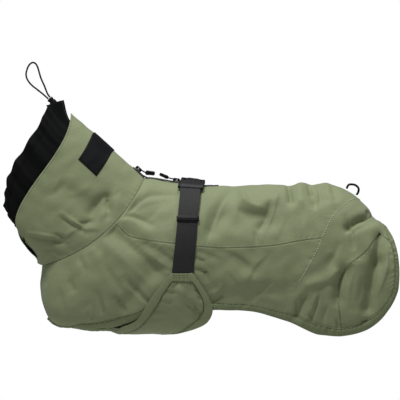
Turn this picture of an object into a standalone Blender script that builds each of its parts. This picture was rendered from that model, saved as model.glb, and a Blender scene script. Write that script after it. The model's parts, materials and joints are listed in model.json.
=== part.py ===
"""Waterproof jacket for a small dog, in its worn, hollow form.

Row frame: +Z up, +X to the tail, the dog's left side at -Y.
The origin is the inner face of the back, in the middle under the strap.
"""
import bpy
import numpy as np
from math import pi

MM = 0.001
Y_WAY = np.array((0.0, 1.0, 0.0))
WALL = 1.3
SEAM_GAP = 0.4
STRAP_THICK = 1.3
BINDING_THICK = 2.1
WING_OFF = 3.4
LABEL_THICK = 0.7
TAPE_THICK = 1.0
TAPE_HALF = 10.5
SLIT_END = 0.385
TAPE_OFF = 0.35
LABEL_OFF = 0.35
STORM_WALL = 1.2
STRAP_HALF = 12.5
SLIDER_HEIGHT = 3.3
FLAP_TURN = 13
GATHERS = 22
GATHER_HEIGHT = 3.2
CORD_NECK = 2.2
CORD_REAR = 2.8
RIM_DIP = 9.0
NAPE_BUNCH = 18.0
BIB_RISE = 3.9
BIB_TILT = 2.0
BUCKLE_X = 3.5
TURN_Y = 30.4
SLIDER_SHARE = 0.585
SLIDER_LENGTH = 6.0
LINK_RADIUS = 0.65
GRIP_LENGTH = 12.0
PIVOT_HEIGHT = 3.75

# One row for each section of the body, from the collar seam to the rear edge.
# u, top_x, top_z, bottom_x, bottom_z, half_width, bow_x, bow_z, skew_x, skew_z, round_top, round_low
BODY = np.array([
    (0.00, -57, 9.6, -186.3, -100, 62, 13, -15, 0, 0, 0.88, 0.80),
    (0.06, -45, 8.5, -188.5, -132, 66, 6, -12, 0, 0, 0.86, 0.62),
    (0.13, -30, 6.0, -177, -167, 70, 0, -8, 0, 0, 0.84, 0.46),
    (0.22, -10, 2.5, -139, -181.5, 73, -2, -4, 0, 0, 0.82, 0.38),
    (0.32, 14, -0.5, -85, -183, 75, -2, -2, 0, 0, 0.82, 0.38),
    (0.44, 45, 0.0, -18, -184, 73, 0, 0, 0, 0, 0.82, 0.42),
    (0.56, 80, 1.0, 50, -196, 71, 0, 0, 0, 0, 0.82, 0.60),
    (0.68, 115, 1.5, 104, -212, 70, 3, 0, 0, 0, 0.82, 0.70),
    (0.80, 152, 3.0, 156, -230, 69, 6, 0, 0, 0, 0.82, 0.70),
    (0.88, 180, 2.5, 190, -238, 68, 8, 0, 0, 0, 0.82, 0.70),
    (0.94, 212, -16.0, 212, -238, 66, 16, 6, -10, 4, 0.84, 0.74),
    (1.00, 250, -56.0, 236, -226, 62, 24, 22, -8, 6, 0.88, 0.80)])

# The collar, from its seam to its rim, in the same columns.
COLLAR = np.array([
    (0.0, -57, 9.6, -186.3, -100, 62, 13, -15, 0, 0, 0.88, 0.80),
    (0.5, -106, 53.0, -192, -97, 57, -8, -10, 24, 0, 0.90, 0.86),
    (1.0, -150, 91.5, -190, -92, 51, -31, -5, 44, 4, 0.92, 0.90)])

# The gathered storm collar, from its base inside the collar to its rim.
STORM = np.array([
    (0.0, -133, 65.0, -185, -78, 44, -21, -5, 34, 3, 0.92, 0.90),
    (0.5, -152, 83.0, -190, -76, 44, -28, -4, 38, 4, 0.94, 0.92),
    (1.0, -160, 108.0, -211, -54, 41, -30, -2, 32, 0, 1.00, 0.96)])

# Side-view lines in mm, x then z.
SIDE_SEAM = ((-61.5, -57), (-36, -67.5), (-19, -71.5), (8.5, -75), (34, -77), (57, -77),
             (82.5, -76), (110, -73.5), (139, -68), (165.5, -65))
REAR_SEAM = ((206.5, -16.5), (195, -22), (185, -30), (175, -44), (165.5, -65), (159, -80),
             (149, -98), (139.5, -115), (130.5, -131), (121, -158))
THIGH_SEAM = ((238.5, -58.5), (234, -64), (225, -76), (215.5, -86), (203, -95), (194, -105),
              (187.5, -121), (186, -142.5), (189, -177))
HEM_IN = ((-52.5, -149), (-12.5, -147), (28.5, -145), (50.5, -146), (79, -148), (104.5, -154.5),
          (121, -158), (135.5, -163), (152, -169), (165.5, -173.5), (176, -176), (189, -177),
          (200, -176), (210, -173), (221.5, -166.5), (233, -158), (242.5, -148), (249.5, -137.5),
          (254, -127), (255, -116), (255.5, -100), (254.5, -89.5), (252.5, -78), (249, -68))
HEM_OUT = ((-50, -160), (-12.5, -158), (29, -154.5), (44, -155), (62.5, -155.5), (77.5, -156.5),
           (90, -159), (102.5, -163), (115, -167), (127.5, -171), (139, -176.5), (150, -182),
           (162.5, -186), (189, -187.4), (200, -186), (214, -182.5), (226, -176.5),
           (237.5, -167.5), (247.5, -155), (255, -143), (259.5, -131), (261, -117.5),
           (261, -100.5), (260, -89), (258, -77), (254.5, -66))
LEG_IN = ((-138, -171.5), (-114.5, -169), (-93.5, -164.5), (-69.5, -158.5), (-52.5, -149))
LEG_OUT = ((-137.5, -179), (-114.5, -178.3), (-93.5, -176), (-75, -171), (-62, -165), (-50, -160))
WING_FRONT = ((-83.5, -174.2), (-76, -171.2), (-69, -168), (-62.5, -161.5),
              (-55, -149), (-45.5, -134.5), (-32, -117.5), (-23.5, -108.5))
WING_FRONT_IN = ((-70, -179), (-61, -173.5), (-53, -166), (-45.5, -157.5),
                 (-37, -144), (-32, -133.5), (-21.5, -120))
WING_REAR = ((4, -108.5), (12, -120), (21.5, -134.5), (27, -146), (28.5, -153), (25, -165), (13, -174))
WING_REAR_IN = ((3, -121), (10, -131), (14, -139.5), (16.5, -150), (13, -160), (3, -168))
STRAP_FRONT = ((-22.5, -112), (-19, -76), (-15.5, -45), (-15, -38))
STRAP_BACK = ((4.5, -112), (7, -76), (9.5, -45), (10, -38.5))
LABEL_FRONT = ((-139.8, 33.3), (-121, 69.9))
LABEL_BACK = ((-117, 12.1), (-94.8, 47.6))

# Folds of the cloth in side view: x1, z1, x2, z2, x3, z3, height, width in mm.
FOLDS = (
    (56.0, -6.0, 42.5, -30.0, 29.0, -54.5, -3.5, 9.0),
    (67.5, -16.0, 85.0, -24.5, 109.5, -16.0, 2.5, 7.0),
    (66.0, -30.0, 77.5, -34.0, 91.0, -32.5, -2.5, 7.0),
    (101.5, -26.0, 96.5, -42.0, 89.0, -52.0, -2.5, 7.0),
    (-23.0, -10.0, -49.0, -12.5, -68.0, -26.0, -2.5, 7.0),
    (-70.5, -38.0, -60.0, -41.0, -49.0, -47.0, -1.8, 6.0),
    (-95.0, -55.0, -66.0, -71.5, -43.0, -103.5, -5.0, 11.0),
    (-53.0, -74.0, -37.5, -81.0, -22.5, -92.0, -2.5, 8.0),
    (-50.0, -107.5, -65.0, -127.5, -79.0, -147.5, -4.0, 12.0),
    (-154.0, -94.5, -151.0, -111.0, -146.0, -127.5, -2.5, 8.0),
    (229.5, -40.0, 215.0, -45.0, 199.0, -53.0, -4.5, 7.0),
    (192.5, -106.0, 186.0, -122.5, 187.0, -140.0, -4.5, 9.0),
    (238.0, -63.5, 238.5, -80.0, 234.5, -94.0, -4.0, 8.0),
    (234.5, -94.0, 225.0, -122.0, 221.5, -151.0, -6.0, 9.0),
    (209.0, -99.0, 210.0, -133.0, 207.5, -157.5, 3.0, 10.0),
    (143.5, -142.0, 139.0, -152.5, 134.5, -162.0, -3.0, 6.0),
    (179.0, -108.5, 164.0, -115.0, 148.0, -122.0, 3.0, 8.0),
    (44.0, -132.5, 81.0, -135.0, 119.0, -130.0, -3.0, 15.0),
    (124.5, 4.0, 125.0, -7.5, 126.0, -17.5, -3.5, 5.0),
    (151.0, 4.0, 152.5, -7.5, 155.5, -19.0, -4.0, 6.0),
    (137.5, 4.0, 137.5, -7.5, 139.0, -17.5, 2.0, 5.0),
    (165.0, 4.0, 166.0, -5.0, 169.0, -15.0, -2.5, 5.0),
    (179.0, 3.0, 180.0, -6.0, 182.5, -14.0, -2.0, 5.0))
COLLAR_FOLDS = (
    (-100.5, -13.0, -100.5, -25.0, -102.0, -38.5, -2.5, 5.0),
    (-105.0, -14.0, -114.0, -22.5, -123.0, -32.5, -4.0, 10.0),
    (-133.0, -50.0, -129.0, -47.5, -124.0, -45.0, -2.5, 6.0),
    (-158.5, -66.5, -162.5, -67.5, -167.5, -67.0, -3.0, 6.0),
    (-90.0, -16.0, -85.0, -24.0, -84.0, -34.0, 1.5, 6.0))

MATERIALS = {
    "shell_green": ((0.20, 0.24, 0.125), 0.62),
    "trim_green": ((0.16, 0.195, 0.10), 0.66),
    "black_cloth": ((0.012, 0.013, 0.015), 0.72),
    "black_webbing": ((0.035, 0.036, 0.04), 0.60),
    "black_plastic": ((0.014, 0.014, 0.016), 0.38),
    "black_cord": ((0.016, 0.016, 0.018), 0.60)}


def along(knots, values, s):
    """Smooth value at s through knots: a cubic with the slopes of the parabola through three knots."""
    knots = np.asarray(knots, float)
    values = np.asarray(values, float)
    wide = (-1,) + (1,) * (values.ndim - 1)
    h = np.diff(knots)
    d = np.diff(values, axis=0) / h.reshape(wide)
    m = np.empty_like(values)
    m[0], m[-1] = d[0], d[-1]
    w = (h[1:] / (h[1:] + h[:-1])).reshape(wide)
    m[1:-1] = w * d[:-1] + (1 - w) * d[1:]
    s = np.asarray(s, float)
    i = np.clip(np.searchsorted(knots, s, side="right") - 1, 0, len(h) - 1)
    t = (s - knots[i]) / h[i]
    hh = h[i]
    if values.ndim > 1:
        t = t[..., None]
        hh = hh[..., None]
    left = (1 + 2 * t) * (1 - t) ** 2 * values[i] + t * (1 - t) ** 2 * hh * m[i]
    return left + t * t * (3 - 2 * t) * values[i + 1] + t * t * (t - 1) * hh * m[i + 1]


def form(u, v, table):
    """Point of the worn form: mid + half cos t + bow sin^2 t + skew sin^2 t cos t.

    Its y is -w sin^p t, with t = pi v.
    """
    r = along(table[:, 0], table[:, 1:], np.clip(u, -0.05, 1.05))
    c = np.cos(pi * v)
    s = np.sin(pi * v)
    x = (r[..., 0] + r[..., 2]) / 2 + (r[..., 0] - r[..., 2]) / 2 * c + s * s * (r[..., 5] + r[..., 7] * c)
    z = (r[..., 1] + r[..., 3]) / 2 + (r[..., 1] - r[..., 3]) / 2 * c + s * s * (r[..., 6] + r[..., 8] * c)
    p = np.where(c > 0, r[..., 9], r[..., 10])
    y = -r[..., 4] * np.sign(s) * np.abs(s) ** p
    return np.stack([x, y, z], -1)


def find(line, table=BODY):
    """(u, v) of side-view points, by Newton steps from the nearest point of a coarse grid."""
    line = np.asarray(line, float).reshape(-1, 2)
    uu, vv = np.meshgrid(np.linspace(0, 1, 61), np.linspace(0, 1, 61), indexing="ij")
    grid = form(uu, vv, table)
    gap = (grid[..., 0].ravel()[None] - line[:, :1]) ** 2 + (grid[..., 2].ravel()[None] - line[:, 1:]) ** 2
    best = gap.argmin(1)
    uv = np.stack([uu.ravel()[best], vv.ravel()[best]], 1)
    e = 1e-4
    for _ in range(16):
        at = form(uv[:, 0], uv[:, 1], table)
        du = (form(uv[:, 0] + e, uv[:, 1], table) - at) / e
        dv = (form(uv[:, 0], uv[:, 1] + e, table) - at) / e
        miss = line - at[:, [0, 2]]
        det = du[:, 0] * dv[:, 2] - dv[:, 0] * du[:, 2]
        det = np.where(np.abs(det) < 1e-3, 1e-3, det)
        step_u = (miss[:, 0] * dv[:, 2] - miss[:, 1] * dv[:, 0]) / det
        step_v = (du[:, 0] * miss[:, 1] - du[:, 2] * miss[:, 0]) / det
        uv = uv + np.clip(np.stack([step_u, step_v], 1), -0.05, 0.05)
        uv[:, 0] = np.clip(uv[:, 0], -0.03, 1.03)
        uv[:, 1] = np.clip(uv[:, 1], 0.0, 1.0)
    return uv


def under(x, y):
    """(u, v) on the underside from x along the body and y off its middle."""
    us = np.linspace(0.06, 1.0, 400)
    u = np.interp(x, along(BODY[:, 0], BODY[:, 3], us), us)
    r = along(BODY[:, 0], BODY[:, 1:], u)
    return u, 1 - np.arcsin((abs(y) / r[4]) ** (1 / r[10])) / pi


def resample(uv, n, table=BODY):
    """n points of a (u, v) line, evenly spaced along it in space."""
    uv = np.asarray(uv, float)
    k = np.arange(len(uv))
    fine = along(k, uv, np.linspace(0, len(uv) - 1, 40 * len(uv))) if len(uv) > 2 else uv
    if len(uv) == 2:
        fine = uv[0] + (uv[1] - uv[0]) * np.linspace(0, 1, 60)[:, None]
    fine[:, 1] = np.clip(fine[:, 1], 0.0, 1.0)
    p = form(fine[:, 0], fine[:, 1], table)
    run = np.concatenate([[0], np.cumsum(np.linalg.norm(np.diff(p, axis=0), axis=1))])
    want = np.linspace(0, run[-1], n)
    return np.stack([np.interp(want, run, fine[:, 0]), np.interp(want, run, fine[:, 1])], 1)


def join(*lines):
    """Lines one after another, without the doubled end points."""
    return np.concatenate([lines[0]] + [part[1:] for part in lines[1:]])


def fold_height(x, z, folds):
    """Sum over the folds of height exp(-(distance / width)^2) in side view."""
    total = np.zeros_like(x)
    for x1, z1, x2, z2, x3, z3, height, width in folds:
        near = np.full(x.shape, 1e9)
        for ax, az, bx, bz in ((x1, z1, x2, z2), (x2, z2, x3, z3)):
            dx, dz = bx - ax, bz - az
            k = np.clip(((x - ax) * dx + (z - az) * dz) / (dx * dx + dz * dz), 0, 1)
            near = np.minimum(near, np.hypot(x - ax - k * dx, z - az - k * dz))
        total = total + height * np.exp(-(near / width) ** 2)
    return total


def raw_normals(u, v, table):
    e = 0.012
    pu = form(u + e, v, table) - form(u - e, v, table)
    pv = form(u, v + e, table) - form(u, v - e, table)
    n = np.cross(pv, pu) * (1 if table is BODY else -1)
    return n / np.maximum(np.linalg.norm(n, axis=-1, keepdims=True), 1e-9)


def normals(u, v, table):
    """Way out of the form; at the collar seam it is shared by the body and the collar."""
    n = raw_normals(u, v, table)
    if table is STORM:
        return n
    zero = np.zeros_like(u)
    both = raw_normals(zero, v, BODY) + raw_normals(zero, v, COLLAR)
    both = both / np.linalg.norm(both, axis=-1, keepdims=True)
    k = np.clip(u / (0.07 if table is BODY else 0.14), 0, 1)[..., None]
    k = k * k * (3 - 2 * k)
    n = n * k + both * (1 - k)
    return n / np.linalg.norm(n, axis=-1, keepdims=True)


def skin(uv, out, far=False, table=BODY, folds=FOLDS):
    """Points of the cloth at (u, v), out mm off the form, with the folds of that side."""
    u, v = uv[..., 0], uv[..., 1]
    p = form(u, v, table)
    n = normals(u, v, table)
    near_h = fold_height(p[..., 0], p[..., 2], folds)
    far_h = 0.85 * fold_height(p[..., 0] - 7, p[..., 2] + 5, folds)
    y = np.clip(np.abs(p[..., 1]) / 22, 0, 1)
    mix = 0.5 + 0.5 * y * y * (3 - 2 * y) * (-1 if far else 1)
    k = np.clip(u / (0.05 if table is BODY else 0.12), 0, 1)
    near_h, far_h = near_h * k * k * (3 - 2 * k), far_h * k * k * (3 - 2 * k)
    p = p + n * (mix * near_h + (1 - mix) * far_h + out)[..., None]
    if table is COLLAR and not far:
        p[..., 0] += RIM_DIP * np.sin(pi * np.clip((v - 0.6) / 0.4, 0, 1)) ** 2 * u * u * (3 - 2 * u)
    if far:
        p = p * np.array((1, -1, 1))
    return p


def inward(border, inner):
    """Unit ways from a border towards the inside, square to the border."""
    run = np.gradient(border, axis=0)
    run = run / np.maximum(np.linalg.norm(run, axis=-1, keepdims=True), 1e-9)
    way = inner - border
    way = way - run * (way * run).sum(-1, keepdims=True)
    return way / np.maximum(np.linalg.norm(way, axis=-1, keepdims=True), 1e-6)


def pull_in(p, gap, sides, first=None):
    """Borders of a grid moved inwards by gap mm: sides is a string of a, b, c, d.
    With first, the border a is moved only from that row on."""
    q = p.copy()
    if first is not None:
        q[first:, 0] += gap * inward(p[first:, 0], p[first:, 1])
    if "a" in sides:
        q[:, 0] += gap * inward(p[:, 0], p[:, 1])
    if "c" in sides:
        q[:, -1] += gap * inward(p[:, -1], p[:, -2])
    if "b" in sides:
        q[-1] += gap * inward(p[-1], p[-2])
    if "d" in sides:
        q[0] += gap * inward(p[0], p[1])
    return q


def lift():
    """Height that puts the inner face of the back at z = 0 above the origin."""
    us = np.linspace(0, 1, 800)
    top = form(us, np.zeros(800), BODY)
    return WALL - np.interp(0.0, top[:, 0], top[:, 2])


LIFT = lift()


def material(slot):
    m = bpy.data.materials.get(slot)
    if m is None:
        m = bpy.data.materials.new(slot)
        m.use_nodes = True
        bsdf = m.node_tree.nodes["Principled BSDF"]
        bsdf.inputs["Base Color"].default_value = MATERIALS[slot][0] + (1.0,)
        bsdf.inputs["Roughness"].default_value = MATERIALS[slot][1]
        m.diffuse_color = MATERIALS[slot][0] + (1.0,)
    return m


def solid(name, slot, points, faces):
    mesh = bpy.data.meshes.new(name)
    shifted = (np.asarray(points, float) + np.array((0, 0, LIFT))) * MM
    mesh.from_pydata(shifted.tolist(), [], faces)
    mesh.update()
    volume = 0.0
    for f in faces:
        for k in range(1, len(f) - 1):
            a, b, c = shifted[f[0]], shifted[f[k]], shifted[f[k + 1]]
            volume += float(np.dot(a, np.cross(b, c)))
    if volume < 0:
        mesh.flip_normals()
    ob = bpy.data.objects.new(name, mesh)
    bpy.context.scene.collection.objects.link(ob)
    mesh.materials.append(material(slot))
    return ob


def shell(name, slot, patches, wrap=False):
    """Closed wall from patches of (outer grid, inner grid, kept quads or None), welded where they meet."""
    index = {}
    outer, inner, quads = [], [], []
    for item in patches:
        out, inn, keep, turned = item
        n, m = out.shape[:2]
        ids = np.zeros((n, m), int)
        for i in range(n):
            for j in range(m):
                key = tuple(np.round(out[i, j], 3) + 0.0)
                if key not in index:
                    index[key] = len(outer)
                    outer.append(out[i, j])
                    inner.append(inn[i, j])
                ids[i, j] = index[key]
        for i in range(n - 1):
            for j in range(m if wrap else m - 1):
                if keep is not None and not keep[i, j]:
                    continue
                k = (j + 1) % m
                q = (ids[i, j], ids[i + 1, j], ids[i + 1, k], ids[i, k])
                quads.append(tuple(int(a) for a in (q[::-1] if turned else q)))
    count = len(outer)
    edges = {}
    for q in quads:
        for a, b in zip(q, q[1:] + q[:1]):
            edges[(a, b)] = edges.get((a, b), 0) + 1
    faces = []
    for q in quads:
        short = [a for k, a in enumerate(q) if a != q[k - 1]]
        faces.append(tuple(short))
        faces.append(tuple(a + count for a in short[::-1]))
    for (a, b) in edges:
        if a != b and (b, a) not in edges:
            faces.append((b, a, a + count, b + count))
    return solid(name, slot, np.array(outer + inner), faces)


def panel(name, slot, uv, out, sides, half=None, thick=WALL, table=BODY, folds=FOLDS, keep=None, first=None):
    """Wall of cloth on a (u, v) grid; half 'left' or 'right', or both halves welded in the middle."""
    patches = []
    for far in (False, True):
        if half == "left" and far or half == "right" and not far:
            continue
        o = pull_in(skin(uv, out, far, table, folds), SEAM_GAP / 2, sides, first)
        i = pull_in(skin(uv, out - thick, far, table, folds), SEAM_GAP / 2, sides, first)
        patches.append((o, i, keep, far))
    return shell(name, slot, patches)


def strip_grid(inner, outer, n):
    """(u, v) grid, n wide, between two lines of the same length."""
    t = np.linspace(0, 1, n)[None, :, None]
    return (1 - t) * inner[:, None] + t * outer[:, None]


def casing(name, uv, out, half=None, sides="abcd", folds=FOLDS, pucker=0.0, count=0):
    """Bound edge: a strip that is thicker in its middle, with small puckers along its length."""
    n, m = uv.shape[:2]
    arch = np.sin(np.linspace(0, pi, m)) ** 0.7
    wave = pucker * np.sin(np.linspace(0, 2 * pi * count, n))[:, None] * arch[None]
    patches = []
    for far in (False, True):
        if half == "left" and far or half == "right" and not far:
            continue
        grow = 0.35 + (BINDING_THICK / 2 - 0.35) * arch[None] + np.zeros((n, 1))
        o = pull_in(skin(uv, out + grow + wave, far, folds=folds), SEAM_GAP / 2, sides)
        i = pull_in(skin(uv, out - grow + wave * 0.5, far, folds=folds), SEAM_GAP / 2, sides)
        patches.append((o, i, None, far))
    return shell(name, "trim_green", patches)


def loft(name, slot, rings):
    """Closed body through rings of points, capped at both ends."""
    rings = np.asarray(rings, float)
    n, m = rings.shape[:2]
    faces = []
    for i in range(n - 1):
        for j in range(m):
            k = (j + 1) % m
            faces.append((i * m + j, (i + 1) * m + j, (i + 1) * m + k, i * m + k))
    faces.append(tuple(range(m)))
    faces.append(tuple(range((n - 1) * m, n * m))[::-1])
    return solid(name, slot, rings.reshape(-1, 3), faces)


def cord(name, path, diameter):
    """Round cord along a path of points, as a bevelled poly line with filled ends."""
    curve = bpy.data.curves.new(name, "CURVE")
    curve.dimensions = "3D"
    curve.bevel_depth = diameter / 2 * MM
    curve.bevel_resolution = 2
    curve.use_fill_caps = True
    spline = curve.splines.new("POLY")
    spline.points.add(len(path) - 1)
    for k, p in enumerate(np.asarray(path, float)):
        spline.points[k].co = (p[0] * MM, p[1] * MM, (p[2] + LIFT) * MM, 1.0)
    ob = bpy.data.objects.new(name, curve)
    bpy.context.scene.collection.objects.link(ob)
    curve.materials.append(material("black_cord"))
    return ob


def ellipse(centre, one, two, half_a, half_b, m, power=0.7):
    """Ring of m points round a centre: a rounded box between an ellipse and a rectangle."""
    t = np.linspace(0, 2 * pi, m, endpoint=False) + pi / m
    a = half_a * np.sign(np.cos(t)) * np.abs(np.cos(t)) ** power
    b = half_b * np.sign(np.sin(t)) * np.abs(np.sin(t)) ** power
    return centre + a[:, None] * one + b[:, None] * two


def tube(name, slot, path, radius, m=8):
    """Round closed body along a path, with flat ends square to it."""
    path = np.asarray(path, float)
    way = np.gradient(path, axis=0)
    way = way / np.linalg.norm(way, axis=1, keepdims=True)
    ref = np.array((0.0, 0.0, 1.0)) if abs(way[:, 2]).max() < 0.9 else np.array((1.0, 0.0, 0.0))
    rings = []
    t = np.linspace(0, 2 * pi, m, endpoint=False)
    for p, w in zip(path, way):
        one = np.cross(w, ref)
        one = one / np.linalg.norm(one)
        two = np.cross(w, one)
        rings.append(p + radius * (np.cos(t)[:, None] * one + np.sin(t)[:, None] * two))
    return loft(name, slot, rings)


def back_uv(x, y):
    """(u, v) on the back from x along it and y off its middle."""
    us = np.linspace(0, 1, 500)
    u = np.interp(x, along(BODY[:, 0], BODY[:, 1], us), us)
    r = along(BODY[:, 0], BODY[:, 1:], u)
    return np.stack([u, np.arcsin((np.abs(y) / r[..., 4]) ** (1 / r[..., 9])) / pi], -1)


def on_back(x, y, out):
    """Points out mm above the back at x and y, with no folds."""
    x, y, out = np.broadcast_arrays(np.asarray(x, float), np.asarray(y, float), np.asarray(out, float))
    uv = back_uv(x, y)
    p = skin(uv, 0.0, folds=()) + normals(uv[..., 0], uv[..., 1], BODY) * out[..., None]
    p[..., 1] = np.where(y > 0, -p[..., 1], p[..., 1])
    return p


def spaced(uv, shares):
    """Points of a (u, v) line at the given shares of its length."""
    fine = resample(uv, 300)
    return np.stack([np.interp(shares, np.linspace(0, 1, 300), fine[:, k]) for k in (0, 1)], 1)


def coons_at(top, low, left, right, t):
    """Coons grid whose rows across sit at the shares t."""
    s = np.linspace(0, 1, len(top))[:, None, None]
    t = t[None, :, None]
    flat = (1 - t) * top[:, None] + t * low[:, None]
    tall = (1 - s) * left[None] + s * right[None]
    corner = (1 - s) * ((1 - t) * top[0] + t * low[0]) + s * ((1 - t) * top[-1] + t * low[-1])
    uv = flat + tall - corner
    uv[..., 1] = np.clip(uv[..., 1], 0, 1)
    return uv


# Lines that the pieces share, as (u, v).
REAR_U = 0.945
side = join(np.array([[0.0, 0.425], [0.10, 0.393]]), find(SIDE_SEAM)[1:])
rear = np.concatenate([np.array([[REAR_U, 0.0]]), find(REAR_SEAM)])
hem_in = find(HEM_IN)
hem_out = find(HEM_OUT)
top_in = np.array([[0.985, 0.15], [0.985, 0.07], [0.985, 0.0]])
top_out = np.array([[0.997, 0.15], [0.997, 0.07], [0.997, 0.0]])
JUNCTION = side[-1]
REAR_TOP = np.concatenate([rear[:5], [JUNCTION]])
REAR_LOW = np.concatenate([[JUNCTION], rear[6:-1], [hem_in[6]]])
APEX_FRONT = np.array([0.9765, 0.255])
APEX_BACK = hem_in[-1]
THIGH_ROWS = 13
thigh_line = resample(np.concatenate([[APEX_FRONT], find(THIGH_SEAM)[1:-1], [hem_in[11]]]), THIGH_ROWS)
chest_foot = np.array(under(-172, 0.0))
bib_corner = np.array(under(-170, 19.0))
leg_front = np.array([under(-168.5, 26.0), under(-163, 37.0), under(-152, 47.0)])
leg_line = resample(np.concatenate([[bib_corner], leg_front, find(LEG_IN)]), 16)
hem_lines = [resample(hem_in[:7], 13), resample(hem_in[6:12], 9), resample(hem_in[11:18], 9),
             resample(hem_in[17:], 13), resample(np.concatenate([hem_in[-1:], top_in]), 4)]


def make_yoke():
    """Yoke over the back, with the zip's slit down its middle."""
    rows, cols = 31, 11
    share = np.concatenate([[0.0, 0.016], np.linspace(0.07, 1.0, cols - 2)])
    middle = np.stack([np.linspace(0, REAR_U, rows), np.zeros(rows)], 1)
    front = np.stack([np.zeros(cols), share * side[0, 1]], 1)
    uv = coons_at(middle, resample(side, rows), front, spaced(REAR_TOP, share), share)
    kept = np.ones((rows - 1, cols - 1), bool)
    kept[:int(SLIT_END / REAR_U * (rows - 1)), 0] = False
    panel("yoke", "shell_green", uv, 0.0, "bcd", keep=kept)


def make_side_and_chest():
    """Sides and chest in one piece, from the left side seam round the chest to the right one."""
    cols = 10
    low = join(resample(np.array([[0.0, 1.0], [0.06, 1.0], chest_foot]), 8),
               resample(np.array([chest_foot, bib_corner]), 3), leg_line, hem_lines[0])
    front = resample(np.array([side[0], [0, 0.7], [0, 1.0]]), cols)
    uv = coons_at(resample(side, len(low)), low, front, resample(REAR_LOW, cols), np.linspace(0, 1, cols))
    panel("side_and_chest", "shell_green", uv, 0.0, "abd")


def make_rear_panel():
    """Rear panel between the topstitched seam and the thigh seams, over the back."""
    rows = 9
    back = join(hem_lines[4][::-1], np.array([APEX_BACK, APEX_FRONT]), thigh_line)
    back[3:5] -= np.array((0.0, 0.014))
    back[4] -= np.array((0.001, 0.0))
    cols = len(back)
    front = resample(np.concatenate([REAR_TOP, REAR_LOW[1:]]), cols)
    middle = np.stack([np.linspace(REAR_U, top_in[-1, 0], rows), np.zeros(rows)], 1)
    uv = coons_at(middle, hem_lines[1], front, back, np.linspace(0, 1, cols))
    panel("rear_panel", "shell_green", uv, 0.0, "bcd")


def make_thigh_panels():
    """Thigh panels behind the thigh seam."""
    uv = coons_at(resample(np.array([APEX_FRONT, APEX_BACK]), 9), hem_lines[2], thigh_line,
                  hem_lines[3][::-1], np.linspace(0, 1, THIGH_ROWS))
    for half in ("left", "right"):
        panel("thigh_panel_" + half, "shell_green", uv, 0.0, "abcd", half)


def make_collar():
    """Collar tube, from its seam to its rim."""
    uv = np.stack(np.meshgrid(np.linspace(0, 1, 8), np.linspace(0, 1, 18), indexing="ij"), -1)
    panel("collar", "shell_green", uv, 0.0, "d", table=COLLAR, folds=COLLAR_FOLDS)


def nape_bunch(s, v):
    """How far the storm collar's cloth stands out to the front beside the nape: most from v 0.13 on."""
    rise = np.clip((v - 0.04) / 0.09, 0, 1)
    fall = np.clip(1 - (v / 0.62) ** 2, 0, 1)
    return NAPE_BUNCH * s * rise * rise * (3 - 2 * rise) * fall


def storm_points(s, v, out, far):
    """Storm collar: the form with gather waves that grow to the rim, pinched together at the nape."""
    p = form(s, v, STORM)
    n = normals(s, v, STORM)
    turn = 2 * pi * (GATHERS / 2 * v + 0.35 * np.sin(3 * pi * v) + (0.12 if far else 0.0) * np.sin(pi * v))
    size = GATHER_HEIGHT * s ** 1.5 * (1 + 0.35 * np.sin(5 * pi * v + 1))
    size = size * (1 - 0.8 * np.exp(-(v / 0.05) ** 2))
    p = p + n * (size * np.cos(turn) + out)[..., None]
    p[..., 0] -= nape_bunch(s, v)
    p[..., 1] *= 1 - 0.45 * np.exp(-(v / 0.09) ** 2) * s
    if far:
        p = p * np.array((1, -1, 1))
    return p


def make_storm_collar():
    """Gathered inner collar, closed at its base only by the gap to the collar."""
    s, v = np.meshgrid(np.array([0, 0.35, 0.7, 1.0]), np.linspace(0, 1, 67), indexing="ij")
    halves = [(storm_points(s, v, 0.0, far), storm_points(s, v, -STORM_WALL, far), None, far)
              for far in (False, True)]
    shell("storm_collar", "black_cloth", halves)


def make_label():
    """Label folded over the nape."""
    front = find(LABEL_FRONT, COLLAR)
    back = find(LABEL_BACK, COLLAR)
    front[1, 1] = 0.0
    back[1, 1] = 0.0
    t = np.linspace(0, 1, 9)[:, None]
    uv = strip_grid(front[1] + (front[0] - front[1]) * t, back[1] + (back[0] - back[1]) * t, 5)
    panel("nape_label", "black_cloth", uv, LABEL_OFF + LABEL_THICK, "", thick=LABEL_THICK, table=COLLAR,
          folds=COLLAR_FOLDS)


def make_leg_bindings():
    """Bound edges of both leg holes."""
    outer = np.array([under(-160.5, 19.5), under(-158, 25.5), under(-152, 34.0), under(-144, 41.0)])
    outer = np.concatenate([outer, find(LEG_OUT)])
    uv = strip_grid(leg_line, resample(outer, 16), 3)
    uv[0] += 0.3 * (uv[1] - uv[0])
    uv[-1] += 0.35 * (uv[-2] - uv[-1])
    for half in ("left", "right"):
        casing("leg_binding_" + half, uv, -WALL / 2, half, sides="ad", pucker=0.2, count=9)


def make_hem_binding():
    """Bound edge of the hem, from one leg hole round the rear to the other."""
    inner = join(*hem_lines)
    outer = join(resample(hem_out[:9], 13), resample(hem_out[8:14], 9), resample(hem_out[13:20], 9),
                 resample(hem_out[19:], 13), resample(np.concatenate([hem_out[-1:], top_out]), 4))
    inner[0] += 0.12 * (inner[1] - inner[0])
    outer[0] += 0.12 * (outer[1] - outer[0])
    casing("hem_binding", strip_grid(inner, outer, 3), -WALL / 2, sides="ad", pucker=0.25, count=16)


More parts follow.
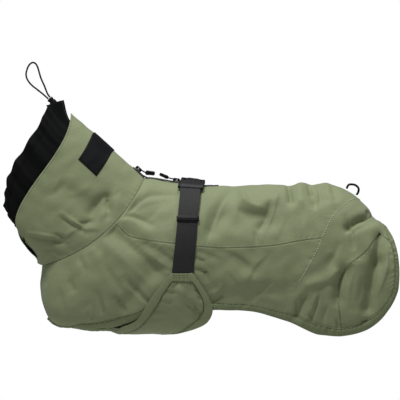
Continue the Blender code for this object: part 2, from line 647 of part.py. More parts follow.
def flap_grid():
    """(u, v) grid of the belly flap: a bib between the front legs that widens into two wings."""
    bib_side = np.array([under(-178, 12.5), under(-145, 12.5), under(-105, 12.5)])
    flare = np.array([under(-94, 17.5), under(-87, 29.0), under(-79, 42.0)])
    wing_side = np.concatenate([bib_side[-1:], flare, find(WING_FRONT_IN)])
    front = join(resample(bib_side, 8), resample(wing_side, 15))
    middle = np.array([[under(x, 0)[0], 1.0] for x in (-178, -112, -46)])
    rear_line = np.concatenate([middle[-1:], [under(-44.5, 12), under(-36, 24), under(-20, 36)],
                                find(WING_REAR_IN[::-1])])
    back = join(resample(middle, FLAP_TURN), resample(rear_line, 10))
    front = spaced(front, np.linspace(0, 1, len(back)))
    bend = 1 + 1.4 * np.clip((back[:, 1] - 0.93) / 0.07, 0, 1)
    t = np.linspace(0, 1, 6)[None, :]
    return np.stack([back[:, :1] * (1 - t) + front[:, :1] * t,
                     back[:, 1:] + (front[:, 1:] - back[:, 1:]) * t ** bend[:, None]], -1)


def bib_share(uv):
    """1 between the leg holes, where no cloth lies under the flap, and 0 from the chest and the flare on."""
    x = form(uv[..., 0], uv[..., 1], BODY)[..., 0]
    share = np.clip(np.minimum((x + 168) / 18, (-88 - x) / 16), 0, 1)
    return share * share * (3 - 2 * share)


def make_belly_flap(flap_uv):
    """Belly flap: the bib follows the underside between the legs, the wings lie outside the sides."""
    panel("belly_flap", "shell_green", flap_uv, WING_OFF - BIB_RISE * bib_share(flap_uv), "bcd", folds=(),
          first=FLAP_TURN)


def make_flap_binding(flap_uv):
    """Wide bound edge all round the flap, in two halves that meet at the middle of its rear edge."""
    bib_edge = np.array([under(-178, 17.5), under(-145, 17.5), under(-105, 17.5)])
    flare = np.array([under(-98.5, 22.0), under(-94.5, 34.0), under(-90.5, 47.0)])
    inner = join(flap_uv[:, -1], flap_uv[-1, ::-1], flap_uv[FLAP_TURN - 1:, 0][::-1])
    rear_line = np.concatenate([find(WING_REAR), [under(-13, 42), under(-27, 28), under(-35, 13)],
                                [[under(-36.5, 0)[0], 1.0]]])
    outer = join(resample(np.concatenate([bib_edge, flare, find(WING_FRONT)]), len(flap_uv)),
                 resample(find((WING_FRONT[-1], WING_REAR[0])), flap_uv.shape[1]),
                 resample(rear_line, len(flap_uv) - FLAP_TURN + 1))
    uv = strip_grid(inner, outer, 3)
    off = WING_OFF - WALL / 2 - (BIB_RISE + BIB_TILT * np.linspace(0, 1, 3)) * bib_share(uv)
    for half in ("left", "right"):
        casing("flap_binding_" + half, uv, off, half, sides="abd", folds=(), pucker=0.2, count=12)


# Strap: share of its length and height off the form: up, round the buckle's bar and back to the slider.
STRAP_RUN = np.array((
    (0.0, 0.75), (0.08, 0.75), (0.16, 1.0), (0.25, 1.6), (0.34, 1.9), (0.43, 2.1), (0.52, 2.25), (0.57, 2.3),
    (0.61, 2.3), (0.65, 2.3), (0.69, 2.3), (0.75, 2.3), (0.81, 2.3), (0.87, 2.3), (0.93, 2.3), (0.985, 2.3),
    (0.993, 2.6), (0.999, 3.5), (1.0, 4.2), (0.999, 4.9), (0.993, 5.8), (0.985, 6.1), (0.94, 5.7),
    (0.90, 5.1), (0.86, 4.6), (0.81, 4.3), (0.75, 4.2), (0.69, 4.1), (0.62, 4.1), (0.555, 4.1)))
strap_top = back_uv(np.array([BUCKLE_X - STRAP_HALF, BUCKLE_X + STRAP_HALF]), np.array([TURN_Y, TURN_Y]))
STRAP_LINES = [resample(np.concatenate([find(STRAP_FRONT), strap_top[:1]]), 60),
               resample(np.concatenate([find(STRAP_BACK), strap_top[1:]]), 60)]


def on_strap(line, shares):
    """(u, v) at the given shares of a strap's edge line."""
    return np.stack([np.interp(shares, np.linspace(0, 1, len(line)), line[:, k]) for k in (0, 1)], -1)


def make_strap(half):
    """Webbing from under the wing's tip over the side, round the buckle's bar and back to the slider."""
    columns = []
    for t in (0.0, 0.5, 1.0):
        uv = on_strap((1 - t) * STRAP_LINES[0] + t * STRAP_LINES[1], STRAP_RUN[:, 0])
        columns.append(skin(uv, 0.0, folds=()) + normals(uv[:, 0], uv[:, 1], BODY) * STRAP_RUN[:, 1:])
    mid = np.stack(columns, 1)
    n = np.cross((mid[:, -1] - mid[:, 0])[:, None], np.gradient(mid, axis=0))
    n = n / np.linalg.norm(n, axis=-1, keepdims=True)
    flip = np.array((1, -1, 1)) if half == "right" else np.array((1, 1, 1))
    o, i = mid + n * STRAP_THICK / 2, mid - n * STRAP_THICK / 2
    shell("strap_" + half, "black_webbing", [(o * flip, i * flip, None, half == "right")])


def make_slider(half):
    """Slider: a flat ring round both layers of the strap."""
    edge = np.array([on_strap(line, SLIDER_SHARE) for line in STRAP_LINES])
    ends = skin(edge, 0.0, folds=())
    up = normals(edge[:, 0], edge[:, 1], BODY).mean(0)
    across = (ends[1] - ends[0]) / np.linalg.norm(ends[1] - ends[0])
    up = up - across * (up @ across)
    up = up / np.linalg.norm(up)
    along_strap = np.cross(across, up)
    middle = ends.mean(0) + up * SLIDER_HEIGHT
    half_w = np.linalg.norm(ends[1] - ends[0]) / 2
    flip = np.array((1, -1, 1)) if half == "right" else np.array((1, 1, 1))
    rings = []
    for grow in (0.8, 0.0):
        rows = [ellipse(middle + along_strap * w, across, up, half_w + 0.8 + grow, 2.1 + grow, 16, 0.2)
                for w in (-SLIDER_LENGTH / 2, SLIDER_LENGTH / 2)]
        rings.append(np.array(rows) * flip)
    shell("slider_" + half, "black_plastic", [(rings[0], rings[1], None, half == "right")], wrap=True)


def slab(name, xs, ys, low_z, high_z, keep):
    """Plate over the back from columns of x, rows of y and heights for each row, with holes."""
    xx, yy = np.meshgrid(BUCKLE_X + np.array(xs), np.array(ys), indexing="ij")
    edge = np.abs(xx - BUCKLE_X) / xs[-1]
    top = on_back(xx, yy, np.array(high_z)[None, :] - 1.4 * (edge > 0.95))
    bottom = on_back(xx, yy, np.array(low_z)[None, :] + 0.0 * xx)
    return shell(name, "black_plastic", [(top, bottom, keep, False)])


# Buckle, for each row across the back: y, height of its underside and of its top.
SOCKET = np.array(((-34.4, 3.4, 5.0), (-32.4, 3.4, 5.0), (-27.0, 2.4, 7.6), (-23.0, 2.4, 8.4),
                   (-19.2, 2.4, 8.6), (-12.0, 2.4, 8.8), (-4.0, 2.4, 8.8), (5.8, 2.4, 8.6)))
PRONG = np.array(((-18.8, 3.0, 7.2), (-12.0, 2.6, 8.0), (-4.0, 2.6, 8.2), (6.2, 2.4, 8.6), (14.0, 2.4, 8.6),
                  (22.0, 2.4, 8.0), (27.0, 2.4, 7.2), (32.4, 3.4, 5.0), (34.4, 3.4, 5.0)))
SOCKET_X = [-15.5, -13.0, -10.4, -4.0, 4.0, 10.4, 13.0, 15.5]
PRONG_X = [-15.5, -13.0, -10.8, -4.0, 4.0, 10.8, 13.0, 15.5]


def make_buckle():
    """Socket on the left with its stem over the middle, prong part on the right with an arm on each side."""
    keep = np.ones((7, 7), bool)
    keep[1:6, 1] = False
    keep[0:2, 4:] = False
    keep[5:7, 4:] = False
    slab("buckle_socket", SOCKET_X, SOCKET[:, 0], SOCKET[:, 1], SOCKET[:, 2], keep)
    keep = np.ones((7, 8), bool)
    keep[2:5, 0:3] = False
    keep[1:6, 6] = False
    slab("buckle_prong", PRONG_X, PRONG[:, 0], PRONG[:, 1], PRONG[:, 2], keep)


TAPE_X = np.linspace(-54.5, 36.0, 17)
TAPE_Y = np.array([-TAPE_HALF, -5.0, 0.0, 5.0, TAPE_HALF])


def tape_rows(out):
    """Rows of the tape: two on the collar's foot, the rest on the back."""
    rows = []
    v = np.arcsin((np.abs(TAPE_Y) / 61.0) ** (1 / 0.89)) / pi
    for s in (0.15, 0.05):
        uv = np.stack([np.full(len(TAPE_Y), s), v], 1)
        p = skin(uv, 0.0, table=COLLAR, folds=()) + normals(uv[:, 0], uv[:, 1], COLLAR) * out
        p[:, 1] = TAPE_Y
        rows.append(p)
    x, y = np.meshgrid(TAPE_X, TAPE_Y, indexing="ij")
    return np.concatenate([np.array(rows), on_back(x, y, out)])


def make_tape():
    """Zip tape over the yoke's slit."""
    shell("zip_tape", "black_cloth", [(tape_rows(TAPE_OFF + TAPE_THICK), tape_rows(TAPE_OFF), None, False)])


def place(origin, slope, x, y, z):
    """Point in a frame at origin in the middle plane, its x turned by slope degrees above +X."""
    a = np.radians(slope)
    return np.array([origin[0] + x * np.cos(a) - z * np.sin(a), y, origin[1] + x * np.sin(a) + z * np.cos(a)])


# Each pull: pivot, slope of its slider, slope of its link, slope of its grip, reach of the link.
collar_foot = np.array([[0.10, 0.0]])
front_pivot = skin(collar_foot, 0.0, table=COLLAR, folds=())[0]
front_pivot = front_pivot + PIVOT_HEIGHT * normals(collar_foot[:, 0], collar_foot[:, 1], COLLAR)[0]
rear_pivot = on_back(-17.8, 0.0, PIVOT_HEIGHT)
PULLS = {"front": ((front_pivot[0], front_pivot[2]), -42.0, -27.0, -7.0, 9.5),
         "rear": ((rear_pivot[0], rear_pivot[2]), -9.0, 167.0, 156.0, 10.5)}
# Grip of a pull: share of its length, half width across and half height.
GRIP = ((0.0, 1.9, 1.5), (0.12, 2.6, 2.1), (0.5, 2.6, 2.1), (0.85, 2.7, 2.1), (1.0, 2.0, 1.4))


def make_zip_end(end):
    """A zip slider with its bail, the cord link through it and the moulded grip on the link."""
    pivot, base, way, grip_way, reach = PULLS[end]
    columns = [np.array([[place(pivot, base, x, y, z) for z in (-2.05, -1.0, 1.0, 1.75)]
                         for x in (-4.6, -2.9, 2.9, 4.6)]) for y in (-2.3, 2.3)]
    keep = np.ones((3, 3), bool)
    keep[1, 1] = False
    shell("zip_slider_" + end, "black_plastic", [(columns[1], columns[0], keep, False)])
    arm = [(reach - 0.3, 1.5), (reach * 0.6, 3.1), (reach * 0.3, 3.4), (0.9, 3.5), (0.25, 3.2), (0, 2.6)]
    link = arm + [(0, 0)] + [(x, -y) for x, y in arm[::-1]]
    tube("zip_link_" + end, "black_cord", [place(pivot, way, x, y, 0) for x, y in link], LINK_RADIUS)
    start = place(pivot, way, reach + 0.1, 0, 0)[[0, 2]]
    up = place((0, 0), grip_way, 0, 0, 1)
    rings = [ellipse(place(start, grip_way, k * GRIP_LENGTH, 0, 0), Y_WAY, up, wide, high, 10, 0.6)
             for k, wide, high in GRIP]
    loft("zip_grip_" + end, "black_plastic", rings)


# Cord stopper: its top, its way and the way across it, and its profile as place along it and radius.
STOP = np.array((-177.3, 0.0, 110.0))
STOP_WAY = np.array((-0.69, 0.0, 0.724))
STOP_SIDE = np.array((0.724, 0.0, 0.69))
STOPPER = ((-13.0, 2.6), (-12.2, 3.6), (-9.0, 4.3), (-4.6, 4.3), (-4.0, 3.4), (-3.2, 3.4), (-2.8, 4.0),
           (-0.6, 3.9), (0.0, 3.0))
NECK_LOOP = np.array((
    (-178.3, 112.6), (-181, 119), (-184, 126.6), (-188, 135.5), (-190.3, 143.3), (-192.5, 150.3),
    (-195.6, 154.4), (-199.5, 154.8), (-203.4, 150.9), (-205.9, 144.5), (-206.5, 138.8), (-204.6, 133),
    (-199.5, 126.6), (-193.1, 121.5), (-187.2, 116.8), (-181.6, 112.2)))
REAR_LOOP = np.array((
    (199.5, -5.2, 0.9), (204.4, -2.4, 1.6), (209.0, 0.2, 0.2), (212.4, 2.6, -3.5), (212.0, 4.8, -8.5)))


def make_stopper():
    """Cord stopper at the nape: a barrel with its button."""
    loft("cord_stopper", "black_plastic",
         [ellipse(STOP + STOP_WAY * k, STOP_SIDE, Y_WAY, r, r, 12, 1.0) for k, r in STOPPER])


def make_neck_cord():
    """Standing loop of elastic cord over the stopper."""
    line = along(np.arange(len(NECK_LOOP)), NECK_LOOP, np.linspace(0, len(NECK_LOOP) - 1, 30))
    flat = [0, 2]
    line[0] = STOP[flat] + STOP_WAY[flat] * 0.5 + STOP_SIDE[flat] * 1.4
    line[-1] = STOP[flat] + STOP_WAY[flat] * 0.5 - STOP_SIDE[flat] * 1.4
    y = 1.6 * np.sin(np.linspace(0, 2 * pi, 30))
    cord("neck_cord", np.stack([line[:, 0], y, line[:, 1]], 1), CORD_NECK)


def make_rear_cord():
    """Small loop of cord that stands off the rear of the back."""
    foot_a = on_back(196.0, -7.0, 2.1)
    foot_b = on_back(208.5, 6.0, 2.3)
    path = np.concatenate([[foot_a], REAR_LOOP, [foot_b]])
    cord("rear_cord", along(np.arange(len(path)), path, np.linspace(0, len(path) - 1, 16)), CORD_REAR)


for ob in list(bpy.data.objects):
    bpy.data.objects.remove(ob)
make_yoke()
make_side_and_chest()
make_rear_panel()
make_thigh_panels()
make_collar()
make_storm_collar()
make_label()
make_leg_bindings()
make_hem_binding()
flap_uv = flap_grid()
make_belly_flap(flap_uv)
make_flap_binding(flap_uv)
for half in ("left", "right"):
    make_strap(half)
    make_slider(half)
make_buckle()
make_tape()
for end in PULLS:
    make_zip_end(end)
make_stopper()
make_neck_cord()
make_rear_cord()
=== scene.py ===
"""Dressed scene of a small dog's waterproof jacket, seen from its left side on a plain pale ground.

Row frame: +Z up, +X to the tail, the dog's left side at -Y. Tables and forms are in millimetres.
"""

import json
from math import pi

import bpy
import numpy as np
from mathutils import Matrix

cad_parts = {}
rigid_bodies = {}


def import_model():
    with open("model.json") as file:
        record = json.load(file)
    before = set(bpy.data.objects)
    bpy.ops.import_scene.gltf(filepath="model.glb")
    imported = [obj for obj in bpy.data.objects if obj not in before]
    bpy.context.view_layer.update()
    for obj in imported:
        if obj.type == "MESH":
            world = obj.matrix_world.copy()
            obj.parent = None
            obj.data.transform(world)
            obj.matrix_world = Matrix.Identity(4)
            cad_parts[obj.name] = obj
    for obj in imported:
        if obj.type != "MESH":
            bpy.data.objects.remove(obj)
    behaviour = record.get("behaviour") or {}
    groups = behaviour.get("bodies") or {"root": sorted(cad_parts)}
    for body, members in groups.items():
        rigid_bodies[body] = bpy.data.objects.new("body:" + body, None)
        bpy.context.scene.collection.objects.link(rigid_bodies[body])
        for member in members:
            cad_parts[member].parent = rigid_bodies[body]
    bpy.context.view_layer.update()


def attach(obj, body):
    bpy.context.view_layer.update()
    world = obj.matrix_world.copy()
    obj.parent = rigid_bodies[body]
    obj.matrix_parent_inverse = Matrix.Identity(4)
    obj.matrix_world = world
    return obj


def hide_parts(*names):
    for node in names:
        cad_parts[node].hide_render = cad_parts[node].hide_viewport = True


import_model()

# Sizes in mm: the solids' wall, the cloth drawn in it, and the heights and widths of the other pieces.
MM = 0.001
WALL = 1.3
CLOTH = 0.9
STRAP_THICK = 1.3
BINDING_THICK = 2.1
WING_OFF = 3.4
TAPE_HALF = 10.5
GATHERS = 22
CORD_NECK = 2.2
CORD_REAR = 2.8
MIRROR = np.array((1, -1, 1))
# Dip of the collar's throat side, bunch at the nape, and rise of the flap's bib with its slope across it.
RIM_DIP = 9.0
NAPE_BUNCH = 18.0
BIB_RISE = 3.9
BIB_TILT = 2.0
THREAD_HIGH = 0.30
CREASE_GAIN = 1.9
FINE = 6  # how many times finer than its table a cloth grid is
# How far a seam border lies inside its edge, and how deep it turns in there, row by row.
SEAM_STEPS = ((0.03, 0.62), (0.40, 0.34), (1.0, 0.06))

# One row for each section of the body, from the collar seam to the rear edge.
# u, top_x, top_z, bottom_x, bottom_z, half_width, bow_x, bow_z, skew_x, skew_z, round_top, round_low
BODY = np.array([
    (0.00, -57, 9.6, -186.3, -100, 62, 13, -15, 0, 0, 0.88, 0.80),
    (0.06, -45, 8.5, -188.5, -132, 66, 6, -12, 0, 0, 0.86, 0.62),
    (0.13, -30, 6.0, -177, -167, 70, 0, -8, 0, 0, 0.84, 0.46),
    (0.22, -10, 2.5, -139, -181.5, 73, -2, -4, 0, 0, 0.82, 0.38),
    (0.32, 14, -0.5, -85, -183, 75, -2, -2, 0, 0, 0.82, 0.38),
    (0.44, 45, 0.0, -18, -184, 73, 0, 0, 0, 0, 0.82, 0.42),
    (0.56, 80, 1.0, 50, -196, 71, 0, 0, 0, 0, 0.82, 0.60),
    (0.68, 115, 1.5, 104, -212, 70, 3, 0, 0, 0, 0.82, 0.70),
    (0.80, 152, 3.0, 156, -230, 69, 6, 0, 0, 0, 0.82, 0.70),
    (0.88, 180, 2.5, 190, -238, 68, 8, 0, 0, 0, 0.82, 0.70),
    (0.94, 212, -16.0, 212, -238, 66, 16, 6, -10, 4, 0.84, 0.74),
    (1.00, 250, -56.0, 236, -226, 62, 24, 22, -8, 6, 0.88, 0.80)])

# The collar, from its seam to its rim, in the same columns.
COLLAR = np.array([
    (0.0, -57, 9.6, -186.3, -100, 62, 13, -15, 0, 0, 0.88, 0.80),
    (0.5, -106, 53.0, -192, -97, 57, -8, -10, 24, 0, 0.90, 0.86),
    (1.0, -150, 91.5, -190, -92, 51, -31, -5, 44, 4, 0.92, 0.90)])

# The gathered storm collar, from its base inside the collar to its rim.
STORM = np.array([
    (0.0, -133, 65.0, -185, -78, 44, -21, -5, 34, 3, 0.92, 0.90),
    (0.5, -152, 83.0, -190, -76, 44, -28, -4, 38, 4, 0.94, 0.92),
    (1.0, -160, 108.0, -211, -54, 41, -30, -2, 32, 0, 1.00, 0.96)])

# Side-view lines in mm, x then z.
SIDE_SEAM = ((-61.5, -57), (-36, -67.5), (-19, -71.5), (8.5, -75), (34, -77), (57, -77),
             (82.5, -76), (110, -73.5), (139, -68), (165.5, -65))
REAR_SEAM = ((206.5, -16.5), (195, -22), (185, -30), (175, -44), (165.5, -65), (159, -80),
             (149, -98), (139.5, -115), (130.5, -131), (121, -158))
THIGH_SEAM = ((238.5, -58.5), (234, -64), (225, -76), (215.5, -86), (203, -95), (194, -105),
              (187.5, -121), (186, -142.5), (189, -177))
HEM_IN = ((-52.5, -149), (-12.5, -147), (28.5, -145), (50.5, -146), (79, -148), (104.5, -154.5),
          (121, -158), (135.5, -163), (152, -169), (165.5, -173.5), (176, -176), (189, -177),
          (200, -176), (210, -173), (221.5, -166.5), (233, -158), (242.5, -148), (249.5, -137.5),
          (254, -127), (255, -116), (255.5, -100), (254.5, -89.5), (252.5, -78), (249, -68))
HEM_OUT = ((-50, -160), (-12.5, -158), (29, -154.5), (44, -155), (62.5, -155.5), (77.5, -156.5),
           (90, -159), (102.5, -163), (115, -167), (127.5, -171), (139, -176.5), (150, -182),
           (162.5, -186), (189, -187.4), (200, -186), (214, -182.5), (226, -176.5),
           (237.5, -167.5), (247.5, -155), (255, -143), (259.5, -131), (261, -117.5),
           (261, -100.5), (260, -89), (258, -77), (254.5, -66))
LEG_IN = ((-138, -171.5), (-114.5, -169), (-93.5, -164.5), (-69.5, -158.5), (-52.5, -149))
LEG_OUT = ((-137.5, -179), (-114.5, -178.3), (-93.5, -176), (-75, -171), (-62, -165), (-50, -160))
WING_FRONT = ((-83.5, -174.2), (-76, -171.2), (-69, -168), (-62.5, -161.5),
              (-55, -149), (-45.5, -134.5), (-32, -117.5), (-23.5, -108.5))
WING_FRONT_IN = ((-70, -179), (-61, -173.5), (-53, -166), (-45.5, -157.5),
                 (-37, -144), (-32, -133.5), (-21.5, -120))
WING_REAR = ((4, -108.5), (12, -120), (21.5, -134.5), (27, -146), (28.5, -153), (25, -165), (13, -174))
WING_REAR_IN = ((3, -121), (10, -131), (14, -139.5), (16.5, -150), (13, -160), (3, -168))
STRAP_FRONT = ((-22.5, -112), (-19, -76), (-15.5, -45), (-15, -38))
STRAP_BACK = ((4.5, -112), (7, -76), (9.5, -45), (10, -38.5))
LABEL_FRONT = ((-139.8, 33.3), (-121, 69.9))
LABEL_BACK = ((-117, 12.1), (-94.8, 47.6))

# Folds of the cloth in side view: x1, z1, x2, z2, x3, z3, height, width in mm.
FOLDS = (
    (56, -6, 42.5, -30, 29, -54.5, -3.5, 9),
    (67.5, -16, 85, -24.5, 109.5, -16, 2.5, 7),
    (66, -30, 77.5, -34, 91, -32.5, -2.5, 7),
    (101.5, -26, 96.5, -42, 89, -52, -2.5, 7),
    (-23, -10, -49, -12.5, -68, -26, -2.5, 7),
    (-70.5, -38, -60, -41, -49, -47, -1.8, 6),
    (-95, -55, -66, -71.5, -43, -103.5, -5, 11),
    (-53, -74, -37.5, -81, -22.5, -92, -2.5, 8),
    (-50, -107.5, -65, -127.5, -79, -147.5, -4, 12),
    (-154, -94.5, -151, -111, -146, -127.5, -2.5, 8),
    (229.5, -40, 215, -45, 199, -53, -4.5, 7),
    (192.5, -106, 186, -122.5, 187, -140, -4.5, 9),
    (238, -63.5, 238.5, -80, 234.5, -94, -4, 8),
    (234.5, -94, 225, -122, 221.5, -151, -6, 9),
    (209, -99, 210, -133, 207.5, -157.5, 3, 10),
    (143.5, -142, 139, -152.5, 134.5, -162, -3, 6),
    (179, -108.5, 164, -115, 148, -122, 3, 8),
    (44, -132.5, 81, -135, 119, -130, -3, 15),
    (124.5, 4, 125, -7.5, 126, -17.5, -3.5, 5),
    (151, 4, 152.5, -7.5, 155.5, -19, -4, 6),
    (137.5, 4, 137.5, -7.5, 139, -17.5, 2, 5),
    (165, 4, 166, -5, 169, -15, -2.5, 5),
    (179, 3, 180, -6, 182.5, -14, -2, 5))
COLLAR_FOLDS = (
    (-100.5, -13, -100.5, -25, -102, -38.5, -2.5, 5),
    (-105, -14, -114, -22.5, -123, -32.5, -4, 10),
    (-133, -50, -129, -47.5, -124, -45, -2.5, 6),
    (-158.5, -66.5, -162.5, -67.5, -167.5, -67, -3, 6),
    (-90, -16, -85, -24, -84, -34, 1.5, 6))
# Finer creases: x1, z1, x2, z2, x3, z3, height, first and last width, lean (one steep side).
CREASES = (
    (28, -118, 72, -120, 120, -116, 2.2, 13, 17, 0.1),
    (20, -39, 72, -41, 128, -39, -1.9, 13, 15, 0.1),
    (-68, -31, -46, -23, -16, -17, -1.1, 5, 7, 0.3),
    (-70, -36, -45, -38, -20, -42, -1.5, 10, 12, 0.1),
    (28, -76, 60, -90, 84, -112, -0.9, 5, 7, 0.4),
    (96, -84, 78, -102, 66, -126, 0.9, 4.5, 6, 0.4),
    (104, -118, 88, -130, 74, -148, -0.9, 4, 5.5, 0.4),
    (44, -106, 56, -120, 62, -138, -0.7, 4, 5, 0.4),
    (176, -84, 172, -106, 160, -130, -1.3, 9, 12, 0.3),
    (150, -92, 142, -104, 126, -112, 0.9, 9, 11, 0.2),
    (-12, -10, -50.6, -11.9, -78, -33, -0.9, 2.5, 3.5, 0.4),
    (-84, -38, -66, -38, -46, -49, -0.8, 2.2, 3, 0.3),
    (-87.5, -44, -73, -41, -60, -50, 0.6, 3, 4, 0.2),
    (-36, -22, -44, -33, -58, -44, -0.5, 3.5, 5, 0.3),
    (-97, -54, -61.9, -83.4, -28, -116, -1.3, 4.5, 7.5, 0.5),
    (-80, -58, -45, -88.8, -22, -110, 1, 3, 5, 0.4),
    (-60, -67, -37, -80, -14, -97, -1.3, 3, 4, 0.5),
    (-36, -75, -27, -79, -15, -87, -0.9, 2.2, 2.8, 0.3),
    (-46, -94, -33, -101, -18, -108, -1, 2.5, 3.5, 0.4),
    (-84, -110, -66, -130, -46, -154, -1.4, 5, 6, 0.4),
    (-108, -66, -72.3, -100.9, -44, -127, 0.9, 4, 6, 0.4),
    (-84, -122, -66, -139, -46, -155, 0.9, 3, 5, 0.3),
    (-112, -92, -98, -110, -84, -131, -0.9, 4, 5, 0.4),
    (-124, -75, -112, -92, -104, -120, 0.7, 5, 6, 0.3),
    (-96, -136, -86, -146, -79, -160, -1, 3, 4, 0.4),
    (56, 2, 35, -27.5, 20, -72, -1.2, 4, 6, 0.5),
    (62.5, -2, 74.7, -22, 98, -28, 1.1, 3, 4, 0.4),
    (60, -27, 79, -33, 100, -36, -0.9, 3, 4, 0.3),
    (101, -18, 96.4, -38.3, 86, -56, -1.2, 2.6, 3.4, 0.5),
    (81, -56, 82.5, -64, 83.5, -72, -0.9, 2, 2.6, 0.2),
    (110.5, -8, 103.1, -34.2, 91, -62, 1, 3, 4.5, 0.4),
    (123.6, 3, 126.2, -7.1, 127.5, -22, -1.9, 1.8, 2.6, 0.5),
    (148.8, 3, 151, -4, 153, -11, -1.8, 1.7, 2.2, 0.4),
    (158.6, 2, 159.4, -15.2, 155.5, -31, -1.3, 2.4, 3.4, 0.5),
    (163, 1, 173, -4, 186, -9, -0.6, 2.4, 3, 0.3),
    (136, -20, 141, -34, 138, -52, -0.5, 4, 6, 0.3),
    (118, -38, 112, -52, 104, -66, 0.5, 4, 6, 0.3),
    (234, -35.5, 211.5, -43.7, 193, -58, -2, 2.2, 3.6, 0.6),
    (220.5, -30.8, 223.8, -32.3, 227, -34.2, -1.4, 1.5, 1.7, 0),
    (226, -44, 208, -51, 196, -62, 1, 3, 4, 0.4),
    (194, -34, 203.4, -60, 205.5, -80, -1.2, 2.6, 3.6, 0.5),
    (187, -69, 180, -86, 171, -100, -0.9, 4, 5, 0.3),
    (206, -92, 170.9, -118, 142, -123, 1.1, 3.5, 5, 0.4),
    (237.5, -62, 233, -96, 222, -163, -1.9, 3.4, 5.5, 0.5),
    (246, -74, 245, -104, 232, -140, 0.9, 3, 4, 0.4),
    (196, -98, 187.2, -122, 183.5, -150, -1.5, 3.2, 4, 0.6),
    (205, -104, 198, -126, 197, -152, 0.9, 3.5, 5, 0.4),
    (149, -128, 138.4, -149.4, 133, -168, -1.4, 2.8, 3.6, 0.5),
    (158, -134, 154.5, -148, 149, -161, 1, 2.6, 3.4, 0.4),
    (162, -136, 156, -154, 150, -174, -1.3, 2.6, 3.2, 0.5),
    (172, -148, 168, -160, 166, -176, -0.9, 2.4, 3, 0.3),
    (180, -176, 204.8, -171.5, 226, -163, -1, 2.6, 3.2, 0.4),
    (214, -112, 212, -136, 204, -158, -0.9, 4, 5, 0.4),
    (4, -78, 20, -84, 40, -93, -0.9, 3.5, 4.5, 0.3),
    (6, -86, 12, -91, 20, -93.5, -1, 1.8, 2.4, 0.4),
    (0, -101, 18.5, -106.9, 23.5, -120, -1.2, 2.8, 3.6, 0.4),
    (40, -120, 36.5, -130, 25, -136, 1, 2.6, 3.4, 0.3),
    (42, -136, 35, -142, 24, -148, -1.3, 2.6, 3.4, 0.5),
    (52, -84, 70, -98, 92, -104, -0.5, 5, 7, 0.2),
    (60, -118, 88, -124, 120, -120, -0.5, 6, 8, 0.2),
    (70, -134, 92, -138, 118, -143, 0.6, 4, 5, 0.3),
    (133, -143, 133.6, -152, 133, -164, -1.2, 1.4, 1.8, 0.3),
    (150, -158, 151.3, -163, 152, -169, -1.2, 1.4, 1.8, 0.3),
    (183, -166, 183.8, -171, 185, -177, -1.2, 1.4, 1.8, 0.3),
    (211, -166, 217, -168.5, 224, -167, -1.1, 1.4, 1.9, 0.3),
    (-165.6, -89, -163, -96, -160, -102, -1.3, 2.2, 2.8, 0.4),
    (-141, -81, -134, -95, -127, -107, -1.4, 2.4, 3, 0.4),
    (-152, -115, -148.5, -124, -144, -132, -1.2, 2.2, 2.8, 0.3),
    (-180, -100, -181.5, -112, -180, -126, -1.3, 2.2, 3, 0.4),
    (-118, -128, -112, -142, -108, -160, -0.8, 3, 4, 0.3),
    (-164, -126, -160, -142, -156, -160, -0.8, 3, 4, 0.3),
    (-128, -150, -124, -160, -122, -170, 0.7, 2.6, 3.2, 0.3))
COLLAR_CREASES = (
    (-166, 2, -140, -12, -107, -32, -2.2, 9, 13, 0.2),
    (-146, -45, -139, -50, -131, -56.5, -1.2, 1.6, 2.2, 0.4),
    (-168, -58, -161, -63.5, -154.5, -69.5, -1.2, 1.6, 2.2, 0.4),
    (-103, -9, -114.5, -21, -124.5, -37, -1.5, 2.6, 4.5, 0.5),
    (-101.6, -8, -102, -20, -100, -31, -1.6, 1.6, 2.2, 0.6),
    (-163, -31, -141, -46, -129, -55, 1.2, 2.6, 3.6, 0.5),
    (-165, -36, -143, -50.5, -131, -58, -1.3, 2.2, 3, 0.5),
    (-207, -57.5, -174, -62.5, -150, -69, 1.1, 2.4, 3.4, 0.4),
    (-205, -61.5, -174, -67, -152, -73, -1.2, 2.2, 3, 0.4),
    (-139, -45.5, -130, -45, -121, -42.5, -0.9, 1.8, 2.4, 0.3),
    (-134, -59.5, -124, -57, -112, -59, -0.9, 3, 4, 0.3),
    (-138.5, -52, -150, -59, -158, -64, 0.8, 2.6, 3.2, 0.3),
    (-92, -2, -96, -14, -93, -28, 0.6, 3, 4, 0.3),
    (-150, 8, -166, -6, -186, -16, -0.6, 4, 6, 0.3),
    (-120, 2, -140, -8, -164, -12, 0.5, 4, 6, 0.3),
    (-190, -78, -170, -82, -154, -90, -0.9, 3, 4, 0.3))


def unit(v, least=1e-9):
    """Vectors of length 1 along v."""
    return v / np.maximum(np.linalg.norm(v, axis=-1, keepdims=True), least)


def ease(t):
    """Smooth step from 0 to 1."""
    return t * t * (3 - 2 * t)


def along(knots, values, s):
    """Smooth value at s through knots: a cubic with the slopes of the parabola through three knots."""
    knots = np.asarray(knots, float)
    values = np.asarray(values, float)
    wide = (-1,) + (1,) * (values.ndim - 1)
    h = np.diff(knots)
    d = np.diff(values, axis=0) / h.reshape(wide)
    m = np.empty_like(values)
    m[0], m[-1] = d[0], d[-1]
    w = (h[1:] / (h[1:] + h[:-1])).reshape(wide)
    m[1:-1] = w * d[:-1] + (1 - w) * d[1:]
    s = np.asarray(s, float)
    i = np.clip(np.searchsorted(knots, s, side="right") - 1, 0, len(h) - 1)
    t = (s - knots[i]) / h[i]
    hh = h[i]
    if values.ndim > 1:
        t = t[..., None]
        hh = hh[..., None]
    left = (1 + 2 * t) * (1 - t) ** 2 * values[i] + t * (1 - t) ** 2 * hh * m[i]
    return left + t * t * (3 - 2 * t) * values[i + 1] + t * t * (t - 1) * hh * m[i + 1]


